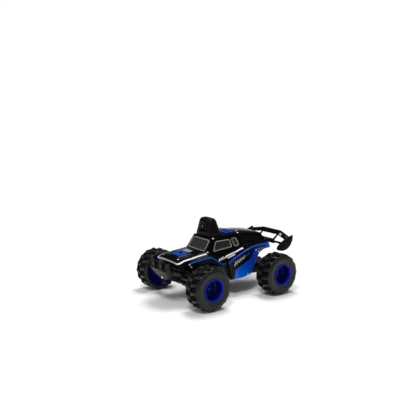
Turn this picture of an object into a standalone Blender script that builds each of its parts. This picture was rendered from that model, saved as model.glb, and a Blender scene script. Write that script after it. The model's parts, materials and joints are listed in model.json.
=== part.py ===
"""Remote control off-road truck with a roof camera, at its real size.

Units are metres. The truck faces -Y, its left side is +X and it stands on Z = 0.
The origin lies on the ground under the middle of the truck's overall length and width.
"""

import math

import bmesh
import bpy
from mathutils import Vector

MM = 0.001

# Overall driving dimensions
WHEELBASE = 64.0 * MM
TRACK = 65.6 * MM
TYRE_DIAMETER = 31.0 * MM
TYRE_WIDTH = 15.0 * MM
FRONT_OVERHANG = 21.4 * MM
REAR_OVERHANG = 25.6 * MM

# Fits
SEAT_GAP = 0.3 * MM
RUNNING_GAP = 0.15 * MM
CUT_MARGIN = 1.0 * MM
ROUND_STEPS = 16

# Places that follow from the driving dimensions
LENGTH = FRONT_OVERHANG + WHEELBASE + REAR_OVERHANG
FRONT_AXLE_Y = FRONT_OVERHANG - LENGTH / 2
REAR_AXLE_Y = LENGTH / 2 - REAR_OVERHANG
AXLE_Z = TYRE_DIAMETER / 2
WHEEL_X = TRACK / 2

# Tyre
LUGS_PER_ROW = 16
LUG_HEIGHT = 1.5 * MM
LUG_SHARE = 0.5
LUG_TAPER = 0.08
LUG_SKEW = -0.11
LUG_EDGE_DROP = 0.15 * MM
GROOVE_RISE = 0.5 * MM
SHOULDER_DROP = 1.75 * MM
SHOULDER_LUG = 0.15 * MM
SIDEWALL_RADIUS = 11.6 * MM
BEAD_HALF_SHARE = 0.86

# Rim
RIM_RADIUS = 7.4 * MM
RIM_WALL = 0.6 * MM
RIM_LIP_HEIGHT = 0.6 * MM
RIM_LIP_WIDTH = 0.7 * MM
RIM_DISH_DEPTH = 7.3 * MM
RIM_DISC = 1.4 * MM
HUB_RADIUS = 2.5 * MM
HUB_PROUD = 0.8 * MM
HUB_BACK = 2.4 * MM
RIM_STEPS = 24
WHEEL_SCREW_RADIUS = 1.9 * MM
WHEEL_SCREW_HEAD = 1.1 * MM

# Axles and steering
AXLE_RADIUS = 1.0 * MM
KINGPIN_X = 21.0 * MM
KINGPIN_RADIUS = 0.8 * MM
KINGPIN_HEAD = 0.6 * MM
KNUCKLE_RADIUS = 2.3 * MM
KNUCKLE_BELOW = 1.3 * MM
KNUCKLE_ABOVE = 4.6 * MM
STEER_ARM = 5.5 * MM
STEER_ARM_WIDTH = 2.4 * MM
STEER_ARM_THICK = 1.6 * MM
TIE_PIN_RADIUS = 0.7 * MM
TIE_ROD_WIDTH = 1.8 * MM
TIE_ROD_HEIGHT = 1.8 * MM
TIE_EYE_RADIUS = 2.1 * MM
TIE_EYE_BORE = 1.25 * MM
LOWER_ARM_THICK = 1.8 * MM
LOWER_ARM_RISE = -0.5 * MM
LOWER_ARM_SPREAD = 5.2 * MM
LOWER_ARM_LEG = 1.7 * MM
BRACE_THICK = 1.4 * MM
SERVO_HALF_WIDTH = 5.6 * MM
SERVO_LENGTH = 12.0 * MM
HORN_LENGTH = 3.0 * MM
HORN_RADIUS = 1.2 * MM
HORN_THICK = 1.0 * MM
HORN_PIN_RADIUS = 0.6 * MM

# Chassis tub
FLOOR_DROP = 3.0 * MM
FLOOR_THICK = 1.2 * MM
TUB_WALL = 1.2 * MM
TUB_NOSE_HALF_WIDTH = 7.6 * MM
TUB_NOSE_DEPTH = 3.9 * MM
TUB_DEPTH = 11.9 * MM
TUB_NOSE_REACH = 6.6 * MM
NOSE_RAMP = 1.6 * MM
TUB_FLARE_START = 13.0 * MM
TUB_FLARE_END = 21.0 * MM
BATTERY_LENGTH = 23.0 * MM
BATTERY_WIDTH = 20.0 * MM
BATTERY_HEIGHT = 8.6 * MM
BATTERY_EDGE = 1.6 * MM
DOOR_EDGE = 1.0 * MM
DOOR_THICK = 1.0 * MM
BOARD_THICK = 1.2 * MM
BOARD_INSET = 1.5 * MM
SWITCH_WIDTH = 2.4 * MM
SWITCH_LENGTH = 3.0 * MM
SWITCH_TRAVEL = 2.5 * MM
SWITCH_FLANGE = 0.9 * MM
SWITCH_RECESS = 0.2 * MM
SOCKET_WIDTH = 5.0 * MM
SOCKET_LENGTH = 3.0 * MM
SOCKET_HEIGHT = 4.0 * MM
FLOOR_PART_INSET = 4.2 * MM
FLOOR_PART_X = 4.6 * MM

# Rear gearbox and motor
GEAR_MODULE = 0.4 * MM
SPUR_TEETH = 20
PINION_TEETH = 9
GEAR_BACKLASH = 0.10 * MM
SPUR_WIDTH = 2.6 * MM
SPUR_X = 6.6 * MM
PINION_EXTRA = 0.6 * MM
MOTOR_RADIUS = 4.3 * MM
MOTOR_LENGTH = 13.0 * MM
MOTOR_RISE = 1.6 * MM
BOX_HALF_WIDTH = 10.6 * MM
BOX_WALL = 1.0 * MM
BUSH_RADIUS = 2.0 * MM
BUSH_FLANGE = 0.7 * MM
TUBE_RADIUS = 1.9 * MM
SKID_HALF_WIDTH = 6.5 * MM
SKID_THICK = 1.4 * MM

# Body shell
SHELL_WALL = 1.0 * MM
BELT_X = 14.0 * MM
BELT_RISE = 19.1 * MM
SIDE_LEAN = 0.287
SHELL_SIDE_X = 17.8 * MM
WINDOW_THICK = 0.7 * MM
CAB_POST = 3.2 * MM
ENGINE_DRAWN_LENGTH = 17.4 * MM
SKIRT_X = 20.5 * MM
HOOD_PANEL_RISE = 0.5 * MM
HOOD_PANEL_FRONT = 9.4 * MM
HOOD_PANEL_REAR = 11.2 * MM
HOOD_PANEL_HALF_FRONT = 8.6 * MM
HOOD_PANEL_HALF_REAR = 9.6 * MM
HOOD_CROWN = 0.25 * MM
HOOD_POST_AHEAD = 0.3 * MM
HOOD_POST_RADIUS = 1.1 * MM
HOOD_POST_RISE = 0.9 * MM

# Roof camera
POD_BASE_HALF_WIDTH = 9.8 * MM
POD_TOP_HALF_WIDTH = 6.7 * MM
POD_RISE = 42.0 * MM
POD_WINDOW_GAP = 0.4 * MM
CAMERA_HALF_WIDTH = 4.2 * MM
CAMERA_HALF_HEIGHT = 3.3 * MM
CAMERA_BARREL = 3.1 * MM
CAMERA_REACH = 4.0 * MM
CAMERA_RISE = 36.3 * MM
CAMERA_FROM_AXLE = 23.6 * MM
TRUNNION_RADIUS = 0.8 * MM
LENS_RADIUS = 2.0 * MM
LENS_PROUD = 0.7 * MM

# Front bumper
LAMP_X = 4.5 * MM
LAMP_RISE = 12.9 * MM
LAMP_RADIUS = 2.7 * MM
LAMP_RECESS_DROP = 3.4 * MM
LAMP_RECESS_EDGE = 0.8 * MM
LAMP_RECESS_BACK = 2.7 * MM
BUMPER_TOP_RISE = 2.6 * MM
LAMP_WALL = 0.5 * MM
LAMP_DEPTH = 2.2 * MM
BUMPER_THICK = 2.2 * MM
BUMPER_SCREW_RADIUS = 1.0 * MM
BUMPER_SCREW_RISE = 3.2 * MM

# Rear wing
WING_HALF_SPAN = 22.6 * MM
WING_BEND_X = 10.0 * MM
WING_THICK = 1.0 * MM
ENDPLATE_THICK = 1.0 * MM
STRUT_THICK = 1.8 * MM

# Heights that follow the axles, so that the truck rides higher on larger tyres
FLOOR_Z = AXLE_Z - FLOOR_DROP
TUB_NOSE_TOP_Z = FLOOR_Z + TUB_NOSE_DEPTH
TUB_TOP_Z = FLOOR_Z + TUB_DEPTH
BELT_Z = AXLE_Z + BELT_RISE
POD_TOP_Z = AXLE_Z + POD_RISE
CAMERA_Z = AXLE_Z + CAMERA_RISE
LAMP_Z = AXLE_Z + LAMP_RISE
BUMPER_SCREW_Z = AXLE_Z + BUMPER_SCREW_RISE


def clear_scene():
    for old in list(bpy.data.objects):
        bpy.data.objects.remove(old)


def material(name, colour, roughness, metallic=0.0):
    """A Principled material with the piece's plain colour and finish."""
    made = bpy.data.materials.new(name)
    made.use_nodes = True
    shader = made.node_tree.nodes["Principled BSDF"]
    shader.inputs["Base Color"].default_value = (*colour, 1.0)
    shader.inputs["Roughness"].default_value = roughness
    shader.inputs["Metallic"].default_value = metallic
    return made


def make(name, bm, finish, parent=None, at=(0.0, 0.0, 0.0)):
    """Turns a bmesh into a named object, with its faces pointing out."""
    bmesh.ops.recalc_face_normals(bm, faces=bm.faces)
    mesh = bpy.data.meshes.new(name)
    bm.to_mesh(mesh)
    bm.free()
    mesh.materials.append(finish)
    mesh.shade_smooth()
    mesh.set_sharp_from_angle(angle=math.radians(32))
    made = bpy.data.objects.new(name, mesh)
    made.location = at
    made.parent = parent
    bpy.context.scene.collection.objects.link(made)
    return made


def pivot(name, at, parent=None):
    """An empty on a joint's axis, which carries the pieces that move together."""
    made = bpy.data.objects.new(name, None)
    made.location = at
    made.parent = parent
    bpy.context.scene.collection.objects.link(made)
    return made


def combine(target, tool, operation):
    """Joins or cuts target with tool, which stays in the scene as a hidden guide."""
    tool.hide_render = True
    tool.display_type = "WIRE"
    step = target.modifiers.new(f"{operation.lower()} {tool.name}", "BOOLEAN")
    step.operation = operation
    step.object = tool
    return target


def join(target, *tools):
    for tool in tools:
        combine(target, tool, "UNION")
    return target


def cut(target, *tools):
    for tool in tools:
        combine(target, tool, "DIFFERENCE")
    return target


def place(axis, along, first, second):
    """A point from a position along an axis and its two other coordinates, in XYZ order."""
    order = {"X": (along, first, second), "Y": (first, along, second), "Z": (first, second, along)}
    return Vector(order[axis])


def add_prism(bm, outline, low, high, axis):
    """A closed outline in the plane across axis, extruded from low to high along it."""
    rings = [[bm.verts.new(place(axis, along, *point)) for point in outline] for along in (low, high)]
    bm.faces.new(rings[0])
    bm.faces.new(rings[1])
    count = len(outline)
    for i in range(count):
        j = (i + 1) % count
        bm.faces.new((rings[0][i], rings[0][j], rings[1][j], rings[1][i]))


def prism(outline, low, high, axis):
    bm = bmesh.new()
    add_prism(bm, outline, low, high, axis)
    return bm


def box(low, high):
    outline = [(low[0], low[1]), (high[0], low[1]), (high[0], high[1]), (low[0], high[1])]
    return prism(outline, low[2], high[2], "Z")


def circle(radius, centre=(0.0, 0.0), steps=ROUND_STEPS, start=0.0):
    turn = 2 * math.pi / steps
    return [
        (
            centre[0] + radius * math.cos(start + i * turn),
            centre[1] + radius * math.sin(start + i * turn),
        )
        for i in range(steps)
    ]


def rod(radius, low, high, axis, centre=(0.0, 0.0), steps=ROUND_STEPS):
    return prism(circle(radius, centre, steps), low, high, axis)


def revolve(profile, axis, steps=ROUND_STEPS, centre=(0.0, 0.0)):
    """A closed profile of (radius, along) points turned about axis. Points on the axis become poles."""
    bm = bmesh.new()
    rings = []
    for radius, along in profile:
        if radius < 1e-9:
            rings.append([bm.verts.new(place(axis, along, *centre))])
        else:
            rings.append([bm.verts.new(place(axis, along, *p)) for p in circle(radius, centre, steps)])
    for first, second in zip(rings, rings[1:] + rings[:1]):
        if len(first) == 1 and len(second) == 1:
            continue
        for i in range(steps):
            j = (i + 1) % steps
            near, far = first[i % len(first)], first[j % len(first)]
            corners = [near, far, second[j % len(second)], second[i % len(second)]]
            bm.faces.new(list(dict.fromkeys(corners)))
    return bm


def loft(loops):
    """A closed skin through loops that all have the same number of points, capped at both ends."""
    bm = bmesh.new()
    rings = [[bm.verts.new(Vector(point)) for point in loop] for loop in loops]
    bm.faces.new(rings[0])
    bm.faces.new(rings[-1])
    count = len(rings[0])
    for first, second in zip(rings, rings[1:]):
        for i in range(count):
            j = (i + 1) % count
            bm.faces.new((first[i], first[j], second[j], second[i]))
    return bm


def mirrored(points):
    """The same points on the other side of the truck."""
    return [(-x, y, z) for x, y, z in points]


def sides():
    return (("left", 1.0), ("right", -1.0))


def finishes():
    return {
        "shell": material("gloss_black_shell", (0.008, 0.008, 0.010), 0.16),
        "blue": material("gloss_blue_skirt", (0.005, 0.105, 0.60), 0.22),
        "tub": material("matt_black_nylon", (0.020, 0.021, 0.023), 0.55),
        "tyre": material("soft_rubber", (0.022, 0.023, 0.024), 0.78),
        "rim": material("blue_rim", (0.010, 0.010, 0.420), 0.28),
        "window": material("dark_window_mesh", (0.045, 0.047, 0.050), 0.45),
        "steel": material("bright_steel", (0.62, 0.62, 0.64), 0.28, 1.0),
        "brass": material("pinion_brass", (0.70, 0.50, 0.20), 0.32, 1.0),
        "white": material("white_acetal", (0.75, 0.74, 0.70), 0.45),
        "lens": material("lamp_lens", (0.20, 0.21, 0.23), 0.08),
        "glass": material("camera_glass", (0.010, 0.012, 0.020), 0.05),
        "board": material("green_board", (0.020, 0.130, 0.050), 0.45),
        "cell": material("battery_wrap", (0.030, 0.160, 0.380), 0.35),
    }


# Wheels


def tyre_mesh(outward):
    """A solid tyre about X with two staggered rows of slanted, tapered lugs, whose grooves run out at the
    shoulder. outward is +1 or -1."""
    half = TYRE_WIDTH / 2
    tread = TYRE_DIAMETER / 2
    carcass = tread - LUG_HEIGHT
    shoulder = tread - SHOULDER_DROP
    bead = RIM_RADIUS + SEAT_GAP
    edge = BEAD_HALF_SHARE * half
    side = [(shoulder, 0.94 * half), (carcass + GROOVE_RISE, 0.70 * half), (carcass, 0.07 * half)]
    tops = {shoulder: shoulder + SHOULDER_LUG, carcass + GROOVE_RISE: tread - LUG_EDGE_DROP, carcass: tread}
    flank = [(bead, edge), (SIDEWALL_RADIUS, half)]
    across = [(r, -x) for r, x in flank + side] + [(r, x) for r, x in reversed(flank + side)]
    rows = (2, 5)
    pitch = 2 * math.pi / LUGS_PER_ROW
    turns = [(k + share) * pitch for k in range(LUGS_PER_ROW) for share in (0.0, LUG_SHARE)]
    lean = LUG_TAPER * pitch
    steps = len(turns)
    bm = bmesh.new()

    def point(radius, x, turn):
        skewed = turn + LUG_SKEW * abs(x) / half
        return (outward * x, radius * math.cos(skewed), radius * math.sin(skewed))

    grid = [[bm.verts.new(point(r, x, turn)) for turn in turns] for r, x in across]
    lug_cells = set()
    for row, first in enumerate(rows):
        for start in range(row, steps, 2):
            end = (start + 1) % steps
            lug_cells.update({(first, start), (first + 1, start)})
            low = [(grid[i][start], grid[i][end]) for i in range(first, first + 3)]
            high = []
            for i in range(first, first + 3):
                r, x = across[i]
                edges = (turns[start] + lean, turns[end] - lean)
                high.append([bm.verts.new(point(tops[r], x, turn)) for turn in edges])
            for i in range(2):
                bm.faces.new((high[i][0], high[i][1], high[i + 1][1], high[i + 1][0]))
                bm.faces.new((low[i][0], low[i + 1][0], high[i + 1][0], high[i][0]))
                bm.faces.new((low[i + 1][1], low[i][1], high[i][1], high[i + 1][1]))
            bm.faces.new((low[0][1], low[0][0], high[0][0], high[0][1]))
            bm.faces.new((low[2][0], low[2][1], high[2][1], high[2][0]))
    for i in range(len(across)):
        following = (i + 1) % len(across)
        for j in range(steps):
            if (i, j) in lug_cells:
                continue
            k = (j + 1) % steps
            bm.faces.new((grid[i][j], grid[i][k], grid[following][k], grid[following][j]))
    return bm


def rim_profile(outward):
    """Half section of the deep-dish rim, as (radius, x) from the wheel's middle plane."""
    edge = BEAD_HALF_SHARE * TYRE_WIDTH / 2 + SEAT_GAP
    face = edge + RIM_LIP_WIDTH
    lip = RIM_RADIUS + RIM_LIP_HEIGHT
    inner = RIM_RADIUS - RIM_WALL
    disc = face - RIM_DISH_DEPTH
    bore = AXLE_RADIUS + RUNNING_GAP
    points = [
        (bore, disc - RIM_DISC - HUB_BACK),
        (HUB_RADIUS, disc - RIM_DISC - HUB_BACK),
        (HUB_RADIUS, disc - RIM_DISC),
        (inner, disc - RIM_DISC),
        (inner, -face),
        (lip, -face),
        (lip, -edge),
        (RIM_RADIUS, -edge),
        (RIM_RADIUS, edge),
        (lip, edge),
        (lip, face),
        (inner, face),
        (inner, disc),
        (HUB_RADIUS, disc),
        (HUB_RADIUS, disc + HUB_PROUD),
        (bore, disc + HUB_PROUD),
    ]
    return [(radius, outward * x) for radius, x in points]


def hub_face():
    """Distance from a wheel's middle plane to the outer face of its hub."""
    edge = BEAD_HALF_SHARE * TYRE_WIDTH / 2 + SEAT_GAP
    return edge + RIM_LIP_WIDTH - RIM_DISH_DEPTH + HUB_PROUD


def build_wheel(label, outward, carrier, finish):
    """Tyre, rim and wheel screw about X, with the carrier empty at the wheel's centre."""
    make(f"tyre_{label}", tyre_mesh(outward), finish["tyre"], carrier)
    make(f"rim_{label}", revolve(rim_profile(outward), "X", RIM_STEPS), finish["rim"], carrier)
    seat = hub_face() + SEAT_GAP
    crown = seat + WHEEL_SCREW_HEAD
    head = [
        (0.0, outward * seat),
        (WHEEL_SCREW_RADIUS, outward * seat),
        (WHEEL_SCREW_RADIUS, outward * (seat + 0.5 * WHEEL_SCREW_HEAD)),
        (0.6 * WHEEL_SCREW_RADIUS, outward * crown),
        (0.0, outward * crown),
    ]
    make(f"wheel_screw_{label}", revolve(head, "X", ROUND_STEPS), finish["steel"], carrier)


# Front end: arms, kingpins, knuckles and steering


def lower_arm_top():
    return AXLE_Z - KNUCKLE_BELOW - SEAT_GAP


def knuckle_top():
    return AXLE_Z + KNUCKLE_ABOVE


def brace_bottom():
    return knuckle_top() + SEAT_GAP


def brace_top():
    return brace_bottom() + BRACE_THICK


def tie_rod_bottom():
    return AXLE_Z + STEER_ARM_THICK + SEAT_GAP


def tie_rod_y():
    return FRONT_AXLE_Y - STEER_ARM


def build_lower_arm(label, side, finish):
    """A-shaped arm from the tub to the kingpin, rising outwards to a flat boss."""
    root_x = TUB_NOSE_HALF_WIDTH + SEAT_GAP
    boss_in = KINGPIN_X - 0.8 * KNUCKLE_RADIUS
    top = lower_arm_top()
    sections = []
    ends = ((root_x, LOWER_ARM_SPREAD, LOWER_ARM_RISE), (boss_in, 0.75 * KNUCKLE_RADIUS, 0.0))
    for x, spread, rise in ends:
        front, rear = FRONT_AXLE_Y - spread, FRONT_AXLE_Y + spread
        low, high = top - rise - LOWER_ARM_THICK, top - rise
        corners = ((front, low), (rear, low), (rear, high), (front, high))
        sections.append([(side * x, y, z) for y, z in corners])
    arm = make(f"lower_arm_{label}", loft(sections), finish["tub"])
    boss = rod(KNUCKLE_RADIUS, top - LOWER_ARM_THICK, top, "Z", (side * KINGPIN_X, FRONT_AXLE_Y))
    join(arm, make(f"guide_lower_boss_{label}", boss, finish["tub"]))
    inner = root_x + LOWER_ARM_LEG
    reach = inner + 0.55 * (boss_in - root_x)
    waist = LOWER_ARM_SPREAD - LOWER_ARM_LEG
    opening = [
        (side * inner, FRONT_AXLE_Y - waist),
        (side * reach, FRONT_AXLE_Y - 0.35 * waist),
        (side * reach, FRONT_AXLE_Y + 0.35 * waist),
        (side * inner, FRONT_AXLE_Y + waist),
    ]
    gap = prism(opening, top - LOWER_ARM_RISE - LOWER_ARM_THICK - CUT_MARGIN, top + CUT_MARGIN, "Z")
    cut(arm, make(f"guide_arm_opening_{label}", gap, finish["tub"]))
    bore = rod(KINGPIN_RADIUS + RUNNING_GAP, top - LOWER_ARM_THICK - CUT_MARGIN, top + CUT_MARGIN, "Z",
               (side * KINGPIN_X, FRONT_AXLE_Y))
    cut(arm, make(f"guide_arm_bore_{label}", bore, finish["tub"]))


def build_kingpin(label, side, finish):
    """Steel pin through the arm, the knuckle and the brace, with its head under the arm."""
    seat = lower_arm_top() - LOWER_ARM_THICK - SEAT_GAP
    head = 1.6 * KINGPIN_RADIUS
    profile = [
        (0.0, seat - KINGPIN_HEAD),
        (head, seat - KINGPIN_HEAD),
        (head, seat),
        (KINGPIN_RADIUS, seat),
        (KINGPIN_RADIUS, brace_top()),
        (0.0, brace_top()),
    ]
    pin = revolve(profile, "Z", ROUND_STEPS, (side * KINGPIN_X, FRONT_AXLE_Y))
    make(f"kingpin_{label}", pin, finish["steel"])


def build_knuckle(label, side, carrier, finish):
    """Knuckle about the kingpin: boss, stub axle, steering arm and tie rod pin, in the carrier's frame."""
    low, high = -KNUCKLE_BELOW, KNUCKLE_ABOVE
    body = make(f"knuckle_{label}", rod(KNUCKLE_RADIUS, low, high, "Z"), finish["tub"], carrier)
    stub_end = WHEEL_X - KINGPIN_X + hub_face()
    ends = sorted((side * 0.5 * KNUCKLE_RADIUS, side * stub_end))
    stub = make(f"guide_stub_{label}", rod(AXLE_RADIUS, ends[0], ends[1], "X"), finish["tub"], carrier)
    half = STEER_ARM_WIDTH / 2
    arm = box((-half, -STEER_ARM - half, 0.0), (half, 0.0, STEER_ARM_THICK))
    arm = make(f"guide_steer_arm_{label}", arm, finish["tub"], carrier)
    pin_top = STEER_ARM_THICK + 2 * SEAT_GAP + TIE_ROD_HEIGHT
    pin = rod(TIE_PIN_RADIUS, 0.5 * STEER_ARM_THICK, pin_top, "Z", (0.0, -STEER_ARM))
    pin = make(f"guide_tie_pin_{label}", pin, finish["tub"], carrier)
    join(body, stub, arm, pin)
    bore = rod(KINGPIN_RADIUS + RUNNING_GAP, low - CUT_MARGIN, high + CUT_MARGIN, "Z")
    cut(body, make(f"guide_knuckle_bore_{label}", bore, finish["tub"], carrier))


def build_brace(finish):
    """Plate over the steering that holds the tops of both kingpins."""
    narrow, wide = 0.8 * KNUCKLE_RADIUS, LOWER_ARM_SPREAD
    body_x, tip_x = SERVO_HALF_WIDTH + SEAT_GAP, KINGPIN_X
    half = [(tip_x, -narrow), (tip_x, narrow), (body_x, wide), (0.0, wide)]
    outline = [(x, FRONT_AXLE_Y + y) for x, y in half]
    outline += [(-x, FRONT_AXLE_Y + y) for x, y in reversed(half[:-1])]
    outline += [(-body_x, FRONT_AXLE_Y - narrow), (body_x, FRONT_AXLE_Y - narrow)]
    plate = make("steering_brace", prism(outline, brace_bottom(), brace_top(), "Z"), finish["tub"])
    for label, side in sides():
        centre = (side * KINGPIN_X, FRONT_AXLE_Y)
        eye = rod(KNUCKLE_RADIUS, brace_bottom(), brace_top(), "Z", centre)
        join(plate, make(f"guide_brace_eye_{label}", eye, finish["tub"]))
    for label, side in sides():
        centre = (side * KINGPIN_X, FRONT_AXLE_Y)
        low, high = brace_bottom() - CUT_MARGIN, brace_top() + CUT_MARGIN
        bore = rod(KINGPIN_RADIUS + RUNNING_GAP, low, high, "Z", centre)
        cut(plate, make(f"guide_brace_bore_{label}", bore, finish["tub"]))


def servo_front():
    return tie_rod_y() + TIE_ROD_WIDTH / 2 + 2 * SEAT_GAP + HORN_THICK


def horn_axis_z():
    """Height of the servo's output shaft: a horn's length below the middle of the tie rod."""
    return tie_rod_bottom() + TIE_ROD_HEIGHT / 2 - HORN_LENGTH


def build_servo(finish):
    """Steering servo on the tub's floor, with its output boss facing forwards."""
    floor = FLOOR_Z + FLOOR_THICK + SEAT_GAP
    front = servo_front()
    body = box((-SERVO_HALF_WIDTH, front, floor),
               (SERVO_HALF_WIDTH, front + SERVO_LENGTH, brace_bottom() - SEAT_GAP))
    make("steering_servo", body, finish["tub"])


def link_outline(first_radius, second_radius, length, steps=6):
    """Outline of a flat link along the second axis: a round end at the origin, a smaller one at length."""
    lean = math.asin((first_radius - second_radius) / length)
    outline = []
    for k in range(2 * steps + 1):
        turn = -math.pi - lean + k * (math.pi + 2 * lean) / (2 * steps)
        outline.append((first_radius * math.cos(turn), first_radius * math.sin(turn)))
    for k in range(2 * steps + 1):
        turn = lean + k * (math.pi - 2 * lean) / (2 * steps)
        outline.append((second_radius * math.cos(turn), length + second_radius * math.sin(turn)))
    return outline


def build_servo_horn(finish):
    """Horn on the servo's shaft, with a pin forward into the tie rod's slot. It turns about Y."""
    carrier = pivot("servo_horn_axis", (0.0, servo_front() - SEAT_GAP, horn_axis_z()))
    outline = link_outline(HORN_RADIUS, 0.6 * HORN_RADIUS, HORN_LENGTH)
    horn = make("servo_horn", prism(outline, -HORN_THICK, 0.0, "Y"), finish["white"], carrier)
    reach = HORN_THICK + SEAT_GAP + TIE_ROD_WIDTH
    pin = rod(HORN_PIN_RADIUS, -reach, -0.5 * HORN_THICK, "Y", (0.0, HORN_LENGTH))
    join(horn, make("guide_horn_pin", pin, finish["white"], carrier))


def build_tie_rod(finish):
    """Bar between the two knuckle pins, with an eye at each end and a slot for the servo horn."""
    low, high = tie_rod_bottom(), tie_rod_bottom() + TIE_ROD_HEIGHT
    half = TIE_ROD_WIDTH / 2
    y = tie_rod_y()
    bar = make("tie_rod", box((-KINGPIN_X, y - half, low), (KINGPIN_X, y + half, high)), finish["tub"])
    slot_half = HORN_PIN_RADIUS + SEAT_GAP
    cheek = slot_half + TIE_ROD_WIDTH / 2
    plate = box((-cheek, y - half, low), (cheek, y + half, high + TIE_ROD_HEIGHT))
    join(bar, make("guide_slot_plate", plate, finish["tub"]))
    for label, side in sides():
        eye = rod(TIE_EYE_RADIUS, low, high, "Z", (side * KINGPIN_X, y))
        join(bar, make(f"guide_tie_eye_{label}", eye, finish["tub"]))
    for label, side in sides():
        bore = rod(TIE_EYE_BORE, low - CUT_MARGIN, high + CUT_MARGIN, "Z", (side * KINGPIN_X, y))
        cut(bar, make(f"guide_tie_bore_{label}", bore, finish["tub"]))
    slot = box((-slot_half, y - half - CUT_MARGIN, low - CUT_MARGIN),
               (slot_half, y + half + CUT_MARGIN, high + 0.5 * TIE_ROD_HEIGHT))
    cut(bar, make("guide_horn_slot", slot, finish["tub"]))


# Chassis tub and what it holds


def tub_half_width():
    return SHELL_SIDE_X - SHELL_WALL - SEAT_GAP


def tub_rear():
    return box_front() - SEAT_GAP


def tub_outline(inset):
    """Plan of the tub, narrow between the front wheels and wide between the axles."""
    narrow, wide = TUB_NOSE_HALF_WIDTH - inset, tub_half_width() - inset
    front, rear = FRONT_AXLE_Y - TUB_NOSE_REACH + inset, tub_rear() - inset
    start, end = FRONT_AXLE_Y + TUB_FLARE_START + inset, FRONT_AXLE_Y + TUB_FLARE_END + inset
    half = [(narrow, front), (narrow, start), (wide, end), (wide, rear)]
    return half + [(-x, y) for x, y in reversed(half)]


def battery_middle_y():
    return tub_rear() - TUB_WALL - SEAT_GAP - DOOR_EDGE - BATTERY_LENGTH / 2


def floor_part_y():
    """Middle of the switch and the socket, on the floor ahead of the battery door."""
    return battery_middle_y() - BATTERY_LENGTH / 2 - DOOR_EDGE - SEAT_GAP - FLOOR_PART_INSET


def tub_inner_x(y):
    """Half width between the tub's walls at a place along the truck."""
    walls = tub_outline(TUB_WALL)[:4]
    for first, second in zip(walls, walls[1:]):
        if y <= second[1]:
            share = (y - first[1]) / (second[1] - first[1])
            return first[0] + share * (second[0] - first[0])
    return walls[-1][0]


def floor_part_x():
    """Distance of the switch and the socket from the middle, less where the tub's flare leaves less room."""
    room = tub_inner_x(floor_part_y() - SOCKET_LENGTH / 2) - SEAT_GAP - SOCKET_WIDTH / 2
    return min(FLOOR_PART_X, room)


def build_tub(finish):
    """Open tub with a low nose under the steering and floor openings for the door, switch and socket."""
    tub = make("chassis_tub", prism(tub_outline(0.0), FLOOR_Z, TUB_TOP_Z, "Z"), finish["tub"])
    hollow = prism(tub_outline(TUB_WALL), FLOOR_Z + FLOOR_THICK, TUB_TOP_Z + CUT_MARGIN, "Z")
    cut(tub, make("guide_tub_hollow", hollow, finish["tub"]))
    wide = tub_half_width() + CUT_MARGIN
    nose = box((-wide, FRONT_AXLE_Y - TUB_NOSE_REACH - CUT_MARGIN, TUB_NOSE_TOP_Z),
               (wide, FRONT_AXLE_Y + TUB_FLARE_START + TUB_WALL, TUB_TOP_Z + CUT_MARGIN))
    cut(tub, make("guide_tub_nose", nose, finish["tub"]))
    front = FRONT_AXLE_Y - TUB_NOSE_REACH - CUT_MARGIN
    ramp = [(front, FLOOR_Z - CUT_MARGIN), (FRONT_AXLE_Y, FLOOR_Z - CUT_MARGIN), (FRONT_AXLE_Y, FLOOR_Z),
            (front, FLOOR_Z + NOSE_RAMP)]
    cut(tub, make("guide_nose_ramp", prism(ramp, -wide, wide, "X"), finish["tub"]))
    under, over = FLOOR_Z - CUT_MARGIN, FLOOR_Z + FLOOR_THICK + CUT_MARGIN
    half_x = BATTERY_WIDTH / 2 + DOOR_EDGE + SEAT_GAP
    half_y = BATTERY_LENGTH / 2 + DOOR_EDGE + SEAT_GAP
    middle = battery_middle_y()
    door = box((-half_x, middle - half_y, under), (half_x, middle + half_y, over))
    cut(tub, make("guide_door_opening", door, finish["tub"]))
    y = floor_part_y()
    x = floor_part_x()
    slot = box((-x - SWITCH_WIDTH / 2 - SEAT_GAP, y - SWITCH_LENGTH / 2 - SEAT_GAP, under),
               (-x + SWITCH_WIDTH / 2 + SEAT_GAP, y + SWITCH_LENGTH / 2 + SWITCH_TRAVEL + SEAT_GAP, over))
    cut(tub, make("guide_switch_slot", slot, finish["tub"]))
    port = box((x - SOCKET_WIDTH / 2 - SEAT_GAP, y - SOCKET_LENGTH / 2 - SEAT_GAP, under),
               (x + SOCKET_WIDTH / 2 + SEAT_GAP, y + SOCKET_LENGTH / 2 + SEAT_GAP, over))
    cut(tub, make("guide_socket_opening", port, finish["tub"]))


def build_battery(finish):
    """Battery door in the floor, the pack on it, and the circuit board on the pack."""
    half_x, half_y = BATTERY_WIDTH / 2, BATTERY_LENGTH / 2
    y = battery_middle_y()
    door = box((-half_x - DOOR_EDGE, y - half_y - DOOR_EDGE, FLOOR_Z),
               (half_x + DOOR_EDGE, y + half_y + DOOR_EDGE, FLOOR_Z + DOOR_THICK))
    make("battery_door", door, finish["tub"])
    low = FLOOR_Z + DOOR_THICK + SEAT_GAP
    high = low + BATTERY_HEIGHT
    edge = BATTERY_EDGE
    section = [(-half_x + edge, low), (half_x - edge, low), (half_x, low + edge), (half_x, high - edge),
               (half_x - edge, high), (-half_x + edge, high), (-half_x, high - edge), (-half_x, low + edge)]
    make("battery_pack", prism(section, y - half_y, y + half_y, "Y"), finish["cell"])
    base = high + SEAT_GAP
    board = box((-half_x - BOARD_INSET, y - half_y + BOARD_INSET, base),
                (half_x + BOARD_INSET, y + half_y - BOARD_INSET, base + BOARD_THICK))
    make("circuit_board", board, finish["board"])


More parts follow.
